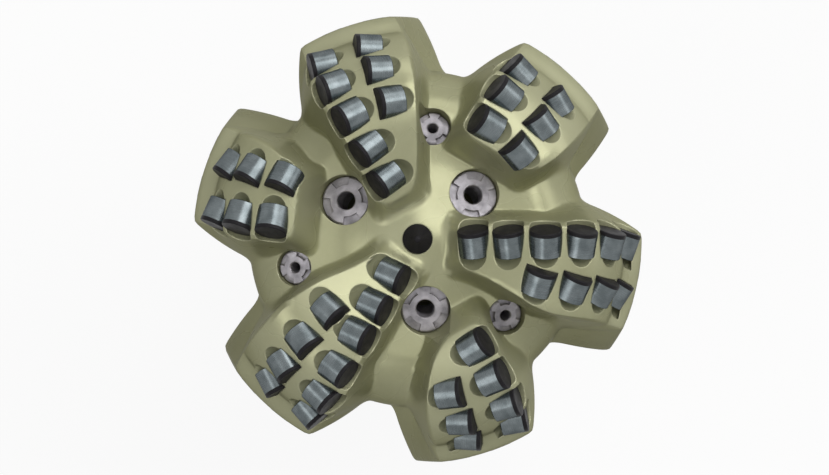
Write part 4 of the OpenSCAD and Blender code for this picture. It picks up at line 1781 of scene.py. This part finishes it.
@dataclass
class Studio:
    """Pale floor, soft lamps, white background and the camera over the face.

    The camera's view is photo_width_mm wide at the top of the gauge, and the bit's axis lies
    axis_right_mm to the right of its middle and axis_down_mm below it.
    """

    sizes: Sizes
    photo_width_mm: float = 409.4
    axis_right_mm: float = 1.48
    axis_down_mm: float = 0.74
    lens_mm: float = 400.0
    sensor_mm: float = 36.0
    floor_reach: float = 9.0
    floor_glow: float = 0.9
    floor_colour: Colour = (0.25, 0.25, 0.25, 1.0)
    floor_in_sight: Colour = (0.98, 0.98, 0.98, 1.0)
    sky_level: float = 0.22
    lamps: tuple[Lamp, ...] = (
        Lamp("ceiling", 60, 84, 6.0, 4.0, 4.0, 0.09),
        Lamp("key", 52, 56, 1.8, 1.5, 0.7, 0.37),
        Lamp("strip", 50, 28, 1.9, 4.4, 0.8, 0.52),
        Lamp("fill", 215, 50, 1.8, 1.5, 0.6, 0.18),
    )

    def camera(self) -> None:
        """Puts the camera straight over the face, far away, with +Y up in the picture."""
        data = bpy.data.cameras.new("camera")
        data.lens = self.lens_mm
        data.sensor_width = self.sensor_mm
        distance = self.photo_width_mm * MM * self.lens_mm / self.sensor_mm
        data.clip_end = distance * 10
        item = bpy.data.objects.new("camera", data)
        height = distance + self.sizes.gauge_top_z * MM
        item.location = (-self.axis_right_mm * MM, self.axis_down_mm * MM, height)
        bpy.context.scene.collection.objects.link(item)
        bpy.context.scene.camera = item

    def floor(self) -> None:
        """Adds the pale floor, which the camera sees near white with the bit's shadow."""
        reach = self.floor_reach
        mesh = bpy.data.meshes.new("floor")
        mesh.from_pydata([(-reach, -reach, 0), (reach, -reach, 0), (reach, reach, 0), (-reach, reach, 0)],
                         [], [(0, 1, 2, 3)])
        item = bpy.data.objects.new("floor", mesh)
        bpy.context.scene.collection.objects.link(item)
        g = Nodes(bpy.data.materials.new("pale_floor"))
        seen = g.in_sight()
        paint = g.add("BsdfDiffuse", {"Color": g.blend(seen, self.floor_colour, self.floor_in_sight)})
        glow = g.add("Emission", {"Color": (1, 1, 1, 1), "Strength": 1.0})
        share = g.math("MULTIPLY", seen, self.floor_glow)
        both = g.add("MixShader", {0: share, 1: paint.outputs[0], 2: glow.outputs[0]})
        mesh.materials.append(g.finish(both))

    def world(self) -> None:
        """Makes the world: soft light on the bit, white to the camera and in reflections."""
        world = bpy.data.worlds.new("studio")
        bpy.context.scene.world = world
        g = Nodes(world)
        level = g.ramp(g.in_sight(), 0.0, 1.0, self.sky_level, 1.0)
        g.finish(g.add("Background", {"Color": (1, 1, 1, 1), "Strength": level}), "OutputWorld")

    def build(self) -> None:
        """Sets up the whole studio."""
        bpy.context.scene.view_settings.view_transform = "Standard"
        self.camera()
        self.floor()
        self.world()
        target = Vector((0, 0, self.sizes.gauge_top_z * MM))
        for lamp in self.lamps:
            lamp.build(target)


def main() -> None:
    """Builds the studio and every piece of the bit, in order."""
    logging.basicConfig(level=logging.INFO, format="%(name)s %(message)s")
    sizes = Sizes()
    layout = Layout(sizes, Profile(sizes))
    paint = Paintbox()
    Studio(sizes).build()
    Crown(sizes, layout, paint).build()
    for blade in range(len(BLADES)):
        CutterSet(sizes, layout, paint, blade).build()
    CentreElement(sizes, paint).build()
    NozzleSet(sizes, layout, paint).build()
    GaugeInserts(sizes, layout, paint).build()
    Shank(sizes, paint).build()
    WeldBead(sizes, paint).build()


if __name__ == "__main__":
    main()
